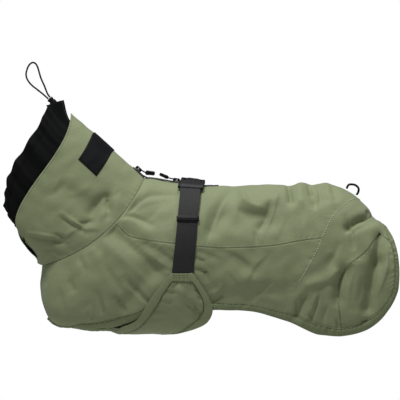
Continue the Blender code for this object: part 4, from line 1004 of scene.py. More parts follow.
# The camera: a long lens level with the jacket's left side.
VIEW_X, VIEW_Z, VIEW_TURN = 12.5, -17.2, 0.75
VIEW_Y, FAR_OFF = -0.045, 5.556
camera = bpy.data.objects.new("camera", bpy.data.cameras.new("camera"))
bpy.context.scene.collection.objects.link(camera)
camera.data.lens = 400
camera.data.sensor_width = 36
camera.data.clip_end = 60
tilt = np.radians(VIEW_TURN)
camera.location = (VIEW_X * MM, VIEW_Y - FAR_OFF * np.cos(tilt), VIEW_Z * MM + FAR_OFF * np.sin(tilt))
camera.rotation_euler = (pi / 2 - tilt, 0, 0)
bpy.context.scene.camera = camera

# The two free cords: the standing loop at the nape and the small loop at the rear of the back.
STOP = np.array((-177.3, 0.0, 110.0))
STOP_WAY = np.array((-0.69, 0.0, 0.724))
STOP_SIDE = np.array((0.724, 0.0, 0.69))
LOOP = np.array(((-178.3, 112.6), (-181, 119), (-184, 126.6), (-188, 135.5), (-190.3, 143.3), (-192.5, 150.3),
                 (-195.6, 154.4), (-199.5, 154.8), (-203.4, 150.9), (-205.9, 144.5), (-206.5, 138.8),
                 (-204.6, 133), (-199.5, 126.6), (-193.1, 121.5), (-187.2, 116.8), (-181.6, 112.2)))
loop_xz = along(np.arange(len(LOOP)), LOOP, np.linspace(0, len(LOOP) - 1, 30))
for end, give in ((0, 1.4), (-1, -1.4)):
    loop_xz[end] = STOP[[0, 2]] + STOP_WAY[[0, 2]] * 0.5 + STOP_SIDE[[0, 2]] * give
loop_y = 1.6 * np.sin(np.linspace(0, 2 * pi, 30))
neck_path = np.stack([loop_xz[:, 0], loop_y, loop_xz[:, 1]], 1)
neck_path = along(np.arange(30), neck_path, np.linspace(0, 29, 117))
rear_ends = on_back(np.array((196.0, 208.5)), np.array((-7.0, 6.0)), np.array((2.1, 2.3)))
REAR_LOOP = np.array(((199.5, -5.2, 0.9), (204.4, -2.4, 1.6), (209.0, 0.2, 0.2), (212.4, 2.6, -3.5),
                      (212.0, 4.8, -8.5)))
rear_path = np.concatenate([rear_ends[:1], REAR_LOOP, rear_ends[1:]])
rear_path = along(np.arange(7), rear_path, np.linspace(0, 6, 61))
cord("braided_neck_loop", "neck_cord", neck_path, CORD_NECK)
cord("braided_rear_loop", "rear_cord", rear_path, CORD_REAR)


side = join(np.array([[0.0, 0.425], [0.10, 0.393]]), find(SIDE_SEAM)[1:])
rear = np.concatenate([np.array([[0.945, 0.0]]), find(REAR_SEAM)])
thigh, hem_in, hem_out = find(THIGH_SEAM), find(HEM_IN), find(HEM_OUT)
top_in = np.array([[0.985, 0.15], [0.985, 0.07], [0.985, 0.0]])
top_out = np.array([[0.997, 0.15], [0.997, 0.07], [0.997, 0.0]])
JUNCTION = side[-1]
REAR_TOP = np.concatenate([rear[:5], [JUNCTION]])
REAR_LOW = np.concatenate([[JUNCTION], rear[6:-1], [hem_in[6]]])
APEX_FRONT = np.array([0.9765, 0.255])
APEX_BACK = hem_in[-1]

# Yoke over the back, with the zip's slit down its middle.
NY, MY = 31, 11
share = np.concatenate([[0.0, 0.016], np.linspace(0.07, 1.0, MY - 2)])
yoke_uv = coons_at(np.stack([np.linspace(0, 0.945, NY), np.zeros(NY)], 1), resample(side, NY),
                   np.stack([np.zeros(MY), share * side[0, 1]], 1), spaced(REAR_TOP, share), share)
kept = np.ones((NY - 1, MY - 1), bool)
kept[:int(0.385 / 0.945 * (NY - 1)), 0] = False
GREEN = ("shell_green", "stretched")
wear(panel("yoke_cloth", yoke_uv, "bcd", keep=kept, pucker="bc", smooth="b"), ["yoke"], *GREEN)

# Sides and chest in one piece, from the left side seam round the chest to the right one.
MS = 10
chest_foot = np.array(under(-172, 0.0))
bib_corner = np.array(under(-170, 19.0))
leg_front = np.array([under(-168.5, 26.0), under(-163, 37.0), under(-152, 47.0)])
leg_in = np.concatenate([[bib_corner], leg_front, find(LEG_IN)])
leg_line = resample(leg_in, 16)
hem_lines = [resample(hem_in[:7], 13), resample(hem_in[6:12], 9), resample(hem_in[11:18], 9),
             resample(hem_in[17:], 13), resample(np.concatenate([hem_in[-1:], top_in]), 4)]
low = join(resample(np.array([[0.0, 1.0], [0.06, 1.0], chest_foot]), 8),
           resample(np.array([chest_foot, bib_corner]), 3), leg_line, hem_lines[0])
side_uv = coons_at(resample(side, len(low)), low, resample(np.array([side[0], [0, 0.7], [0, 1.0]]), MS),
                   resample(REAR_LOW, MS), np.linspace(0, 1, MS))
wear(panel("side_and_chest_cloth", side_uv, "abd", pucker="bc", smooth="b"), ["side_and_chest"], *GREEN)

# Rear panel between the topstitched seam and the thigh seams, over the back.
NR, MT = 9, 13
thigh_line = resample(np.concatenate([[APEX_FRONT], thigh[1:-1], [hem_in[11]]]), MT)
rear_back = join(hem_lines[4][::-1], np.array([APEX_BACK, APEX_FRONT]), thigh_line)
rear_back[3:5] -= np.array((0.0, 0.014))
rear_back[4] -= np.array((0.001, 0.0))
MR = len(rear_back)
rear_front = resample(np.concatenate([REAR_TOP, REAR_LOW[1:]]), MR)
rear_uv = coons_at(np.stack([np.linspace(0.945, 0.985, NR), np.zeros(NR)], 1), hem_lines[1],
                   rear_front, rear_back, np.linspace(0, 1, MR))
wear(panel("rear_panel_cloth", rear_uv, "bcd", pucker="bc", smooth="d"), ["rear_panel"], *GREEN)

# Thigh panels behind the thigh seam.
thigh_uv = coons_at(resample(np.array([APEX_FRONT, APEX_BACK]), 9), hem_lines[2], thigh_line,
                    hem_lines[3][::-1], np.linspace(0, 1, MT))
for half in ("left", "right"):
    wear(panel("thigh_cloth_" + half, thigh_uv, "abcd", half, pucker="bcd"), ["thigh_panel_" + half], *GREEN)

# Collar tube with a stitched hem at its rim.
NC, MC = 8, 18
collar_uv = np.stack(np.meshgrid(np.linspace(0, 1, NC), np.linspace(0, 1, MC), indexing="ij"), -1)
ON_COLLAR = {"table": COLLAR, "folds": COLLAR_FOLDS, "creases": COLLAR_CREASES}
wear(panel("collar_cloth", collar_uv, "bd", pucker="d", band=2.2, fine=8, drop=0.8, **ON_COLLAR), ["collar"],
     *GREEN)


def nape_bunch(s, v):
    """How far the storm collar's cloth stands out to the front beside the nape: most from v 0.13 on."""
    rise = np.clip((v - 0.04) / 0.09, 0, 1)
    fall = np.clip(1 - (v / 0.62) ** 2, 0, 1)
    return NAPE_BUNCH * s * ease(rise) * fall


def storm_points(s, v, out, far):
    """Storm collar: the form with soft gather waves that grow to the rim, finer uneven ones between them, a
    cord channel under the scalloped rim, and all of it pinched together at the nape."""
    p = form(s, v, STORM)
    n = normals(s, v, STORM)
    turn = 2 * pi * (GATHERS / 2 * v + 0.35 * np.sin(3 * pi * v) + (0.12 if far else 0.0) * np.sin(pi * v))
    size = 3.0 * s ** 1.5 * (0.72 + 0.45 * np.sin(5 * pi * v + 1) + 0.22 * np.sin(13.7 * pi * v + 2.2))
    size = size * (1 - 0.8 * np.exp(-(v / 0.05) ** 2))
    edge = np.sin(pi * v) ** 0.5
    small = np.sin(2.3 * turn + 1.1 * np.sin(turn * 0.6 + 0.4) + (1.7 if far else 0.0))
    tiny = np.sin(5.1 * turn + 2.0 * np.sin(1.3 * turn) + 3.0 * s)
    fine = edge * (0.55 * s * small + 0.14 * s ** 2 * tiny)
    channel = 0.55 * np.exp(-((s - 0.90) / 0.045) ** 2) - 0.5 * np.exp(-((s - 0.80) / 0.022) ** 2)
    channel = channel * (1 + 0.35 * small) * edge
    p = p + n * (size * np.cos(turn) + fine + channel + out)[..., None]
    rim = unit(form(np.minimum(s + 0.02, 1.04), v, STORM) - form(s, v, STORM))
    p = p + rim * (0.9 * edge * s ** 6 * np.cos(turn + 0.8))[..., None]
    p[..., 0] -= nape_bunch(s, v)
    p[..., 1] *= 1 - 0.45 * np.exp(-(v / 0.09) ** 2) * s
    return p * MIRROR if far else p


grid_s, grid_v = np.meshgrid(np.linspace(0, 1, 34), np.linspace(0, 1, 420), indexing="ij")
storm = []
for far in (False, True):
    o, i = storm_points(grid_s, grid_v, 0.0, far), storm_points(grid_s, grid_v, -1.0, far)
    i[-1] = 0.5 * (i[-1] + o[-1])
    # Its foot turns out to the collar's inner face, where it is sewn on.
    foot_v = grid_v[0]
    foot_u = np.interp(foot_v, (0, 0.3, 0.5, 0.7, 0.8, 0.9, 1), (0.735, 0.78, 0.805, 0.82, 0.87, 0.93, 0.94))
    foot = form(foot_u, foot_v, COLLAR) - 2.0 * normals(foot_u, foot_v, COLLAR)
    foot = foot * MIRROR if far else foot
    ahead = 0.5 * unit(o[3] - o[0])
    share = np.linspace(1.0, 0.15, 6)[:, None, None]
    o = np.concatenate([o[0] + (foot + ahead - o[0]) * share, o])
    i = np.concatenate([i[0] + (foot - ahead - i[0]) * share, i])
    storm.append((o, i, lay_of(o), None, far))
wear(shell("storm_collar_cloth", "black_cloth", storm, sharp=3.0), ["storm_collar"], "black_cloth",
     "gathered")

# Label over the nape, bare, with a line of its own stitches.
label_front, label_back = find(LABEL_FRONT, COLLAR), find(LABEL_BACK, COLLAR)
label_front[1, 1] = 0.0
label_back[1, 1] = 0.0
t9 = np.linspace(0, 1, 9)[:, None]
label_uv = strip_grid(label_front[1] + (label_front[0] - label_front[1]) * t9,
                      label_back[1] + (label_back[0] - label_back[1]) * t9, 5)
wear(panel("label_cloth", label_uv, "abc", out=1.25, slot="bare_label", lining=None, drop=0.9, **ON_COLLAR),
     ["nape_label"], "black_cloth")

# Bound edges: both leg holes, and the hem round the rear.
leg_out = np.concatenate([[under(-160.5, 19.5)], [under(-158, 25.5), under(-152, 34.0), under(-144, 41.0)],
                          find(LEG_OUT)])
leg_uv = strip_grid(leg_line, resample(leg_out, 16), 3)
leg_uv[0] += 0.3 * (leg_uv[1] - leg_uv[0])
leg_uv[-1] += 0.35 * (leg_uv[-2] - leg_uv[-1])
for half in ("left", "right"):
    wear(casing("leg_binding_cloth_" + half, leg_uv, -WALL / 2, "ad", half, seed=2.0, full=0.95),
         ["leg_binding_" + half], "trim_green")
hem_a = join(*hem_lines)
hem_b = join(resample(hem_out[:9], 13), resample(hem_out[8:14], 9), resample(hem_out[13:20], 9),
             resample(hem_out[19:], 13), resample(np.concatenate([hem_out[-1:], top_out]), 4))
hem_a[0] += 0.12 * (hem_a[1] - hem_a[0])
hem_b[0] += 0.12 * (hem_b[1] - hem_b[0])
wear(casing("hem_binding_cloth", strip_grid(hem_a, hem_b, 3), -WALL / 2, "ad", seed=1.0), ["hem_binding"],
     "trim_green")

# Belly flap: a bib between the front legs that widens into two wings outside the sides.
bib_side = np.array([under(-178, 12.5), under(-145, 12.5), under(-105, 12.5)])
flare = np.array([under(-94, 17.5), under(-87, 29.0), under(-79, 42.0)])
flare_in = np.concatenate([bib_side[-1:], flare, find(WING_FRONT_IN)])
front_in = join(resample(bib_side, 8), resample(flare_in, 15))
centre = resample(np.array([[under(x, 0)[0], 1.0] for x in (-178, -112, -46)]), 13)
rear_in = np.concatenate([[[under(-46, 0)[0], 1.0]], [under(-44.5, 12), under(-36, 24), under(-20, 36)],
                          find(WING_REAR_IN[::-1])])
back_line = join(centre, resample(rear_in, 10))
front_in = spaced(front_in, np.linspace(0, 1, len(back_line)))
bend = 1 + 1.4 * np.clip((back_line[:, 1] - 0.93) / 0.07, 0, 1)
flap_t = np.linspace(0, 1, 6)[None, :]
flap_uv = np.stack([back_line[:, :1] * (1 - flap_t) + front_in[:, :1] * flap_t,
                    back_line[:, 1:] + (front_in[:, 1:] - back_line[:, 1:]) * flap_t ** bend[:, None]], -1)
WING_FOLDS = (
    (-15, -123, -9, -131, -5, -141, 1.3, 3.5, 4.5, 0.3),
    (-4, -146, 3, -153, 10, -160, -1.3, 2.4, 3.4, 0.4),
    (7.5, -129, 10, -131, 12.5, -132.5, -1.3, 1.3, 1.6, 0.2),
    (10, -137, 12.5, -139, 15, -140, -1.3, 1.3, 1.6, 0.2),
    (10.5, -154, 13, -156, 15.5, -157, -1.3, 1.3, 1.6, 0.2),
    (0, -140, 8, -151, 14, -162, -1.6, 2.4, 3.2, 0.5),
    (-6, -147, 2, -157, 6, -168, 1, 2.6, 3.4, 0.4),
    (-30, -128, -24, -131, -16, -132, -0.8, 1.8, 2.6, 0.4),
    (-38, -140, -30, -143, -21, -143, -0.9, 1.8, 2.6, 0.4),
    (-46, -152, -36, -154, -26, -153, -0.8, 1.8, 2.6, 0.4),
    (-52, -162, -42, -163, -32, -161, -0.7, 1.8, 2.6, 0.4),
    (-14, -122, -10, -136, -12, -152, 0.7, 5, 6, 0.3))


def bib_share(uv):
    """1 between the leg holes, where no cloth lies under the flap, 0.3 on the chest and 0 past the flare."""
    x = form(uv[..., 0], uv[..., 1], BODY)[..., 0]
    front, back = np.clip((x + 168) / 18, 0, 1), np.clip((-88 - x) / 16, 0, 1)
    return np.minimum(0.3 + 0.7 * ease(front), ease(back))


def band_rise(uv, t):
    """Rise of the flap's band: the bib's own, and its free edge turned up to the leg hole's band."""
    x = form(uv[..., 0], uv[..., 1], BODY)[..., 0]
    return (BIB_RISE + BIB_TILT * t) * bib_share(uv) + 5.2 * t ** 2 * np.exp(-((x + 93) / 9) ** 2)


wear(panel("belly_flap_cloth", flap_uv, "abcd", out=WING_OFF, folds=(), creases=WING_FOLDS, first=13,
           pucker="abc", gather=0.8, off=lambda uv: BIB_RISE * bib_share(uv)), ["belly_flap"], *GREEN)
bib_edge = np.array([under(-178, 17.5), under(-145, 17.5), under(-105, 17.5)])
flare_out = np.array([under(-98.5, 22.0), under(-94.5, 34.0), under(-90.5, 47.0)])
wing_in = join(flap_uv[:, -1], flap_uv[-1, ::-1], flap_uv[12:, 0][::-1])
rear_out = np.concatenate([find(WING_REAR), [under(-13, 42), under(-27, 28), under(-35, 13)],
                           [[under(-36.5, 0)[0], 1.0]]])
edge_out = np.concatenate([bib_edge, flare_out, find(WING_FRONT)])
wing_out = join(resample(edge_out, len(flap_uv)), resample(find((WING_FRONT[-1], WING_REAR[0])), 6),
                resample(rear_out, len(flap_uv) - 12))
flap_edge = strip_grid(wing_in, wing_out, 3)
for half in ("left", "right"):
    wear(casing("flap_binding_cloth_" + half, flap_edge, WING_OFF - WALL / 2, "abd", half, folds=(),
                creases=(), seed=3.0, full=0.60, pitch=7.5, slot="bound_green", ripple=0.6, sewn=0.13,
                off=band_rise), ["flap_binding_" + half], "trim_green")

# Straps: from under each wing tip over the side, round the buckle's bar and back to the slider.
BUCKLE_X, TURN_Y = 3.5, 30.4
strap_top = on_back_uv(np.array([BUCKLE_X - 12.5, BUCKLE_X + 12.5]), np.array([TURN_Y, TURN_Y]))
STATIONS = np.linspace(0, 1, 60)
strap_f = resample(np.concatenate([find(STRAP_FRONT), strap_top[:1]]), len(STATIONS))
strap_b = resample(np.concatenate([find(STRAP_BACK), strap_top[1:]]), len(STATIONS))
# Share of the strap's length and its height off the form: up, round the bar and back down to the slider.
STRAP_RUN = np.array((
    (0.0, 0.75), (0.08, 0.75), (0.16, 1.0), (0.25, 1.6), (0.34, 1.9), (0.43, 2.1), (0.52, 2.25), (0.57, 2.3),
    (0.61, 2.3), (0.65, 2.3), (0.69, 2.3), (0.75, 2.3), (0.81, 2.3), (0.87, 2.3), (0.93, 2.3), (0.985, 2.3),
    (0.993, 2.6), (0.999, 3.5), (1.0, 4.2), (0.999, 4.9), (0.993, 5.8), (0.985, 6.1), (0.94, 5.7),
    (0.90, 5.1), (0.86, 4.6), (0.81, 4.3), (0.75, 4.2), (0.69, 4.1), (0.62, 4.1), (0.555, 4.1)))
SLIDER_SHARE = 0.585
for half in ("left", "right"):
    fine = along(np.arange(len(STRAP_RUN)), STRAP_RUN, np.linspace(0, len(STRAP_RUN) - 1, 146))
    cols = []
    for t in edge_profile(17):
        line = (1 - t) * strap_f + t * strap_b
        uv = line_at(fine[:, 0], STATIONS, line)
        n = normals(uv[:, 0], uv[:, 1], BODY)
        cols.append(form(uv[:, 0], uv[:, 1], BODY) + n * fine[:, 1:])
    mid = np.stack(cols, 1)
    way = np.gradient(mid, axis=0)
    n = unit(np.cross((mid[:, -1] - mid[:, 0])[:, None], way))
    t = edge_profile(17)[None]
    thin = (STRAP_THICK / 2 * (1 - 0.75 * np.abs(2 * t - 1) ** 10))[..., None]
    wave = 0.12 * np.sin(run_of(mid[:, 8])[:, None] / 13.0 + 2.0 * t) * np.clip(fine[:, 1:] - 0.9, 0, 1)
    mid = mid + n * wave[..., None]
    o, i = mid + n * thin, mid - n * thin
    lay = lay_of(mid)
    right = half == "right"
    flip = MIRROR if right else 1
    wear(shell("strap_web_" + half, "black_webbing", [(o * flip, i * flip, lay, None, right)], sharp=1.2),
         ["strap_" + half], "black_webbing")
    # Slider: a flat moulded ring round both layers, with a middle bar on top.
    edge = np.array([line_at(SLIDER_SHARE, STATIONS, line) for line in (strap_f, strap_b)])
    ends = form(edge[:, 0], edge[:, 1], BODY)
    nn = normals(edge[:, 0], edge[:, 1], BODY).mean(0)
    one = unit(ends[1] - ends[0])
    nn = unit(nn - one * (nn @ one))
    two = np.cross(one, nn)
    c = ends.mean(0) + nn * 3.3
    half_w = np.linalg.norm(ends[1] - ends[0]) / 2
    phi = np.linspace(0, 2 * pi, 14, endpoint=False)
    rings = []
    for a in np.linspace(0, 2 * pi, 73):
        across, high = blunt(np.cos(a), 0.22), blunt(np.sin(a), 0.35)
        core = c + one * across * (half_w + 1.15) + nn * high * 2.45
        away = unit(one * across + nn * high)
        rings.append(core + away * (0.38 * blunt(np.cos(phi), 0.6))[:, None]
                     + two * (2.95 * blunt(np.sin(phi), 0.6))[:, None])
    points = (np.array(rings) * flip)[:-1].reshape(-1, 3)
    q = tube_faces(len(rings), len(phi))[0] % len(points)
    q = q[:, ::-1] if right else q
    frame_ring = mesh_piece("slider_ring", points, q.tolist(), "black_plastic", sharp=0.9)
    bar = [ring(c + nn * 2.95 + one * x, two, nn, 0.75, 0.35, 10)
           for x in np.linspace(0.5 - half_w, half_w - 0.5, 12)]
    bar = loft("slider_bar", "black_plastic", np.array(bar) * flip)
    wear(joined("slider_moulding_" + half, [frame_ring, bar]), ["slider_" + half], "black_plastic")


def block(rows, swap=False, m=28, power=0.42):
    """Moulded bar over the back through rounded sections, each with its place along the bar, middle, half
    width, low and high. It runs across the back, or along it with swap."""
    rings = []
    t = np.linspace(0, 2 * pi, m, endpoint=False) + pi / m
    ca, sa = blunt(np.cos(t), power), blunt(np.sin(t), power)
    for at, middle, half_a, low, high in rows:
        a = middle + half_a * ca
        out = (low + high) / 2 + (high - low) / 2 * sa
        x, y = (at + 0 * a, a) if swap else (a, at + 0 * a)
        rings.append(on_back(BUCKLE_X + x, y, out))
    return loft("block", "black_plastic", np.array(rings))


def rounded(at_1, at_2, middle, half_a, low, high, soft=0.5, steps=2):
    """Rows of a straight bar with softened ends."""
    ends = [((at, middle, half_a - soft, low + soft * 0.7, high - soft * 0.7),
             (at + give, middle, half_a - soft * 0.3, low + soft * 0.2, high - soft * 0.2))
            for at, give in ((at_1, soft * 0.35), (at_2, -soft * 0.35))]
    straight = [(at_1 + soft + (at_2 - at_1 - 2 * soft) * k / steps, middle, half_a, low, high)
                for k in range(steps + 1)]
    return [*ends[0], *straight, *ends[1][::-1]]


# Buckle: the socket on the left with its stem over the middle, and the prong part on the right with its arms
# beside the stem. Each half has a hood and two ears over the bar that its strap goes round.
socket = [block(rounded(-27.0, -19.3, 0, 15.4, 2.6, 8.3, 0.9, 3)),
          block([(-21.0, 0, 9.6, 2.8, 7.8), (-20.2, 0, 10.3, 2.5, 8.5), (-12, 0, 10.3, 2.5, 8.8),
                 (-4, 0, 10.3, 2.5, 8.8), (4.6, 0, 10.3, 2.5, 8.6), (5.4, 0, 10.0, 2.7, 8.4),
                 (5.7, 0, 9.4, 3.0, 8.0)]),
          block(rounded(-26.6, -21.6, 0, 10.5, 8.0, 8.75, 0.35, 2)),
          block(rounded(-17.0, 3.0, 0, 6.6, 8.5, 9.05, 0.3, 3)),
          block([(-13.6, -33.4, 0.8, 3.5, 4.8), (-13.2, -33.4, 1.0, 3.4, 5.0), (16.2, -33.4, 1.0, 3.4, 5.0),
                 (16.6, -33.4, 0.8, 3.5, 4.8)], swap=True, m=14)]
HOOD = [(0.0, 0.2, 15.1, 6.6, 8.6), (2.6, 0.9, 15.0, 6.8, 8.7), (5.6, 2.0, 14.6, 6.8, 8.6),
        (7.8, 2.8, 14.1, 6.3, 8.1), (8.7, 3.1, 13.5, 6.0, 7.5), (9.2, 3.2, 12.5, 5.9, 6.9)]
socket.append(block([(-26.8 - y, x, w, low, high) for y, x, w, low, high in HOOD]))
for x in (-14.2, 14.2):
    socket.append(block([(-34.2, x + 1.6, 1.0, 3.5, 4.9), (-33.6, x + 1.5, 1.2, 3.4, 6.4),
                         (-30.5, x + 0.8, 1.25, 3.0, 7.2), (-27.4, x, 1.25, 2.6, 7.8),
                         (-26.4, x, 1.2, 2.6, 7.9)], m=16))
wear(joined("buckle_socket_moulding", socket), ["buckle_socket"], "black_plastic")
prong = [block([(6.5, 0, 14.2, 3.0, 7.9), (7.0, 0, 15.0, 2.6, 8.4), (14, 0, 15.4, 2.5, 8.5),
                (22, 0, 15.4, 2.5, 7.9), (26.2, 0, 15.3, 2.6, 7.3), (26.9, 0, 14.6, 2.9, 6.9)]),
         block(rounded(11.0, 23.0, 0, 9.5, 7.9, 8.65, 0.35, 3)),
         block([(-15.4, 33.4, 0.8, 3.5, 4.8), (-15, 33.4, 1.0, 3.4, 5.0), (15, 33.4, 1.0, 3.4, 5.0),
                (15.4, 33.4, 0.8, 3.5, 4.8)], swap=True, m=14)]
prong.append(block([(26.4 + y, x, w, low, high) for y, x, w, low, high in HOOD]))
for x in (-1, 1):
    prong.append(block([(-18.6, x * 12.9, 1.2, 4.0, 6.6), (-18.1, x * 13.0, 1.9, 3.2, 7.3),
                        (-16.5, x * 13.2, 2.2, 3.0, 7.7), (-11.0, x * 13.2, 2.25, 2.8, 8.0),
                        (-4.0, x * 13.2, 2.2, 2.7, 8.1), (2.0, x * 13.1, 2.15, 2.7, 8.2),
                        (7.4, x * 13.0, 2.0, 2.7, 8.2)], m=18))
    for y in (-15.5, -13.6, -11.7, -9.8):
        prong.append(block(rounded(y - 0.35, y + 0.35, x * 13.2, 1.9, 7.2, 8.25, 0.2, 1), m=12))
    prong.append(block([(34.2, x * 14.2, 1.0, 3.5, 4.9), (33.6, x * 14.2, 1.2, 3.4, 5.1),
                        (30.5, x * 14.2, 1.25, 3.0, 6.0), (27.4, x * 14.2, 1.25, 2.6, 7.0),
                        (26.4, x * 14.2, 1.2, 2.6, 7.2)], m=16))
wear(joined("buckle_prong_moulding", prong), ["buckle_prong"], "black_plastic")

# Zip: woven tape over the slit, moulded teeth, two sliders and their pulls.
TOOTH_PITCH = 1.25
Y_WAY = np.array((0.0, 1.0, 0.0))
tape_x = np.linspace(-54.5, 36.0, 110)
tape_y = np.concatenate([[-TAPE_HALF], np.linspace(-10.2, 10.2, 21), [TAPE_HALF]])
tx, ty = np.meshgrid(tape_x, tape_y, indexing="ij")


def tape_rows(out):
    """Rows of the tape: some on the collar's foot, the rest on the back."""
    rows = []
    for s in np.linspace(0.15, 0.03, 9):
        v = np.arcsin((np.abs(tape_y) / 61.0) ** (1 / 0.89)) / pi
        u = s + 0 * v
        p = form(u, v, COLLAR) + normals(u, v, COLLAR) * np.broadcast_to(out, v.shape)[:, None]
        p[:, 1] = tape_y
        rows.append(p)
    return np.concatenate([np.array(rows), on_back(tx, ty, np.broadcast_to(out, v.shape)[None] + 0 * tx)])


off_mid = np.abs(tape_y)
crown = 0.30 * np.exp(-((off_mid - 4.2) / 0.9) ** 2) + 0.18 * np.exp(-((off_mid - 9.4) / 0.5) ** 2)
tape_top, tape_low = tape_rows(1.05 + crown - 0.45 * (off_mid > 10.3)), tape_rows(0.40)
wear(shell("zip_tape_cloth", "zip_woven", [(tape_top, tape_low, lay_of(tape_top), None, False)], sharp=1.2),
     ["zip_tape"], "black_cloth")
spine = tape_rows(1.1)[:, 11]
spine_run = run_of(spine)
teeth_at = np.arange(3.0, spine_run[-1] - 7.0, TOOTH_PITCH)
spine_way = unit(np.gradient(spine, axis=0))
TOOTH = ((-1.75, 0.28, 0.25), (-1.6, 0.44, 0.42), (0.2, 0.46, 0.5), (1.3, 0.62, 0.52), (1.65, 0.5, 0.35))
q, caps = tube_faces(len(TOOTH), 8)
tooth_points, tooth_quads = [], []
for k, at in enumerate(teeth_at):
    mid, way = line_at(at, spine_run, spine), unit(line_at(at, spine_run, spine_way))
    up = np.array((-way[2], 0.0, way[0]))
    side_sign = -1 if k % 2 else 1
    rows = [ring(mid + side_sign * (y - 0.55) * Y_WAY + up * 0.2, way, up, a, b * 0.85, 8)
            for y, a, b in TOOTH]
    tooth_quads += [[c + 8 * len(TOOTH) * k for c in (f if k % 2 else f[::-1])] for f in q.tolist() + caps]
    tooth_points += rows
wear(mesh_piece("zip_teeth", np.concatenate(tooth_points), tooth_quads, "black_plastic", sharp=0.8), (),
     "black_plastic")


def place(origin, slope, x, y, z):
    """Point in a frame at origin in the middle plane, its x turned by slope degrees above +X."""
    a = np.radians(slope)
    return np.array([origin[0] + x * np.cos(a) - z * np.sin(a), y, origin[1] + x * np.sin(a) + z * np.cos(a)])


# Each pull: pivot, slope of its slider, slope of its link, slope of its grip, reach of the link.
PIVOT_HEIGHT, GRIP_LENGTH = 3.75, 12.0
foot_u, foot_v = np.array([0.10]), np.array([0.0])
front_pivot = (form(foot_u, foot_v, COLLAR) + PIVOT_HEIGHT * normals(foot_u, foot_v, COLLAR))[0]
rear_pivot = on_back(-17.8, 0.0, PIVOT_HEIGHT)
PULLS = {"front": ((front_pivot[0], front_pivot[2]), -42.0, -30.0, -6.0, 9.5),
         "rear": ((rear_pivot[0], rear_pivot[2]), -9.0, 167.0, 156.0, 10.5)}
# Slider: a plate (place, half width, half height), an arch over the link in side view, and two cheeks in it.
PLATE = ((-4.6, 1.5, 0.25), (-4.3, 2.2, 0.45), (-2.0, 2.3, 0.52), (1.0, 2.3, 0.52), (3.6, 1.8, 0.5),
         (4.4, 1.3, 0.4), (4.6, 0.9, 0.25))
ARCH = ((-3.75, -1.4), (-3.75, 0.6), (-3.5, 1.15), (-2.9, 1.38), (0.0, 1.42), (2.9, 1.38), (3.5, 1.15),
        (3.75, 0.6), (3.75, -1.4))
arch = along(np.arange(9), np.array(ARCH), np.linspace(0, 8, 33))
for end, (pivot, base, way, grip_way, reach) in PULLS.items():
    ahead, up = place((0, 0), base, 1, 0, 0), place((0, 0), base, 0, 0, 1)
    parts = [[ring(place(pivot, base, x, 0, -1.5), Y_WAY, up, w, h, 16, 0.6) for x, w, h in PLATE],
             [ring(place(pivot, base, x, 0, z), Y_WAY, -s[1] * ahead + s[0] * up, 1.6, 0.62, 12, 0.6)
              for (x, z), s in zip(arch, unit(np.gradient(arch, axis=0)))]]
    for x in (-3.4, 1.0):
        parts.append([ring(place(pivot, base, x + k, 0, -0.2), Y_WAY, up, 1.35, 1.2, 12, 0.6)
                      for k in (0, 2.4)])
    parts = [loft("slider_part", "black_plastic", rings) for rings in parts]
    wear(joined("zip_slider_moulding_" + end, parts), ["zip_slider_" + end], "black_plastic")
    link = [(reach + 0.4, 1.3), (reach - 0.3, 1.5), (reach * 0.6, 3.1), (reach * 0.3, 3.4), (0.9, 3.5),
            (0.25, 3.2), (0, 2.6), (0, 0)]
    link += [(x, -y) for x, y in link[-2::-1]]
    link = np.array([place(pivot, way, x, y, 0) for x, y in link])
    link = along(np.arange(15), link, np.linspace(0, 14, 85))
    wear(loft("zip_link_braid_" + end, "black_cord", tube_rings(link, 0.80, 10)), ["zip_link_" + end],
         "black_cord", body="pull_" + end)
    start = place(pivot, way, reach + 0.1, 0, 0)[[0, 2]]
    up = place((0, 0), grip_way, 0, 0, 1)
    k = np.linspace(0, 1, 61)
    waist = along((0.0, 0.04, 0.12, 0.5, 0.85, 0.96, 1.0),
                  ((1.8, 1.6), (2.6, 2.4), (3.05, 2.80), (3.0, 2.75), (2.95, 2.6), (2.6, 2.2), (1.8, 1.5)), k)
    groove = 1 - 0.10 * np.clip(np.sin(2 * pi * (k - 0.3) / 0.11), 0, 1) * ((k > 0.3) & (k < 0.74))
    flat = 0.78 if end == "rear" else 1.0
    grip_rings = [ring(place(start, grip_way, s * GRIP_LENGTH, 0, 0), Y_WAY, up, w * g, h * g * flat, 20, 0.6)
                  for s, (w, h), g in zip(k, waist, groove)]
    wear(loft("zip_grip_moulding_" + end, "black_plastic", grip_rings, sharp=0.8), ["zip_grip_" + end],
         "black_plastic", body="pull_" + end)

# Cord stopper at the nape: a barrel, a gap with the spring's neck, and the button.
STOPPER = (
    (-13.0, 2.0), (-12.9, 2.7), (-12.5, 3.35), (-11.9, 3.8), (-10.6, 4.15), (-9.0, 4.3), (-8.9, 4.12),
    (-8.6, 4.12), (-8.5, 4.3), (-6.0, 4.3), (-5.0, 4.28), (-4.7, 4.05), (-4.6, 3.4), (-3.4, 3.4),
    (-3.3, 3.85), (-3.0, 4.0), (-1.2, 3.95), (-0.6, 3.75), (-0.2, 3.3), (0.0, 2.4))
stopper = [ring(STOP + STOP_WAY * k, STOP_SIDE, Y_WAY, r, r, 28, 1.0) for k, r in STOPPER]
wear(loft("cord_stopper_moulding", "black_plastic", stopper, sharp=0.6), ["cord_stopper"], "black_plastic")

# Stitches: each line is (u, v) points, height off the form, its table, folds and creases, and the stitches'
# pitch, length and width.
def inset(border, other, mm):
    """(u, v) line mm inside a border, towards the next line of its grid."""
    a = form(border[:, 0], border[:, 1], BODY)
    b = form(other[:, 0], other[:, 1], BODY)
    gap = np.maximum(np.linalg.norm(b - a, axis=-1), 1e-6)[:, None]
    return border + (other - border) * np.minimum(mm / gap, 1.5)


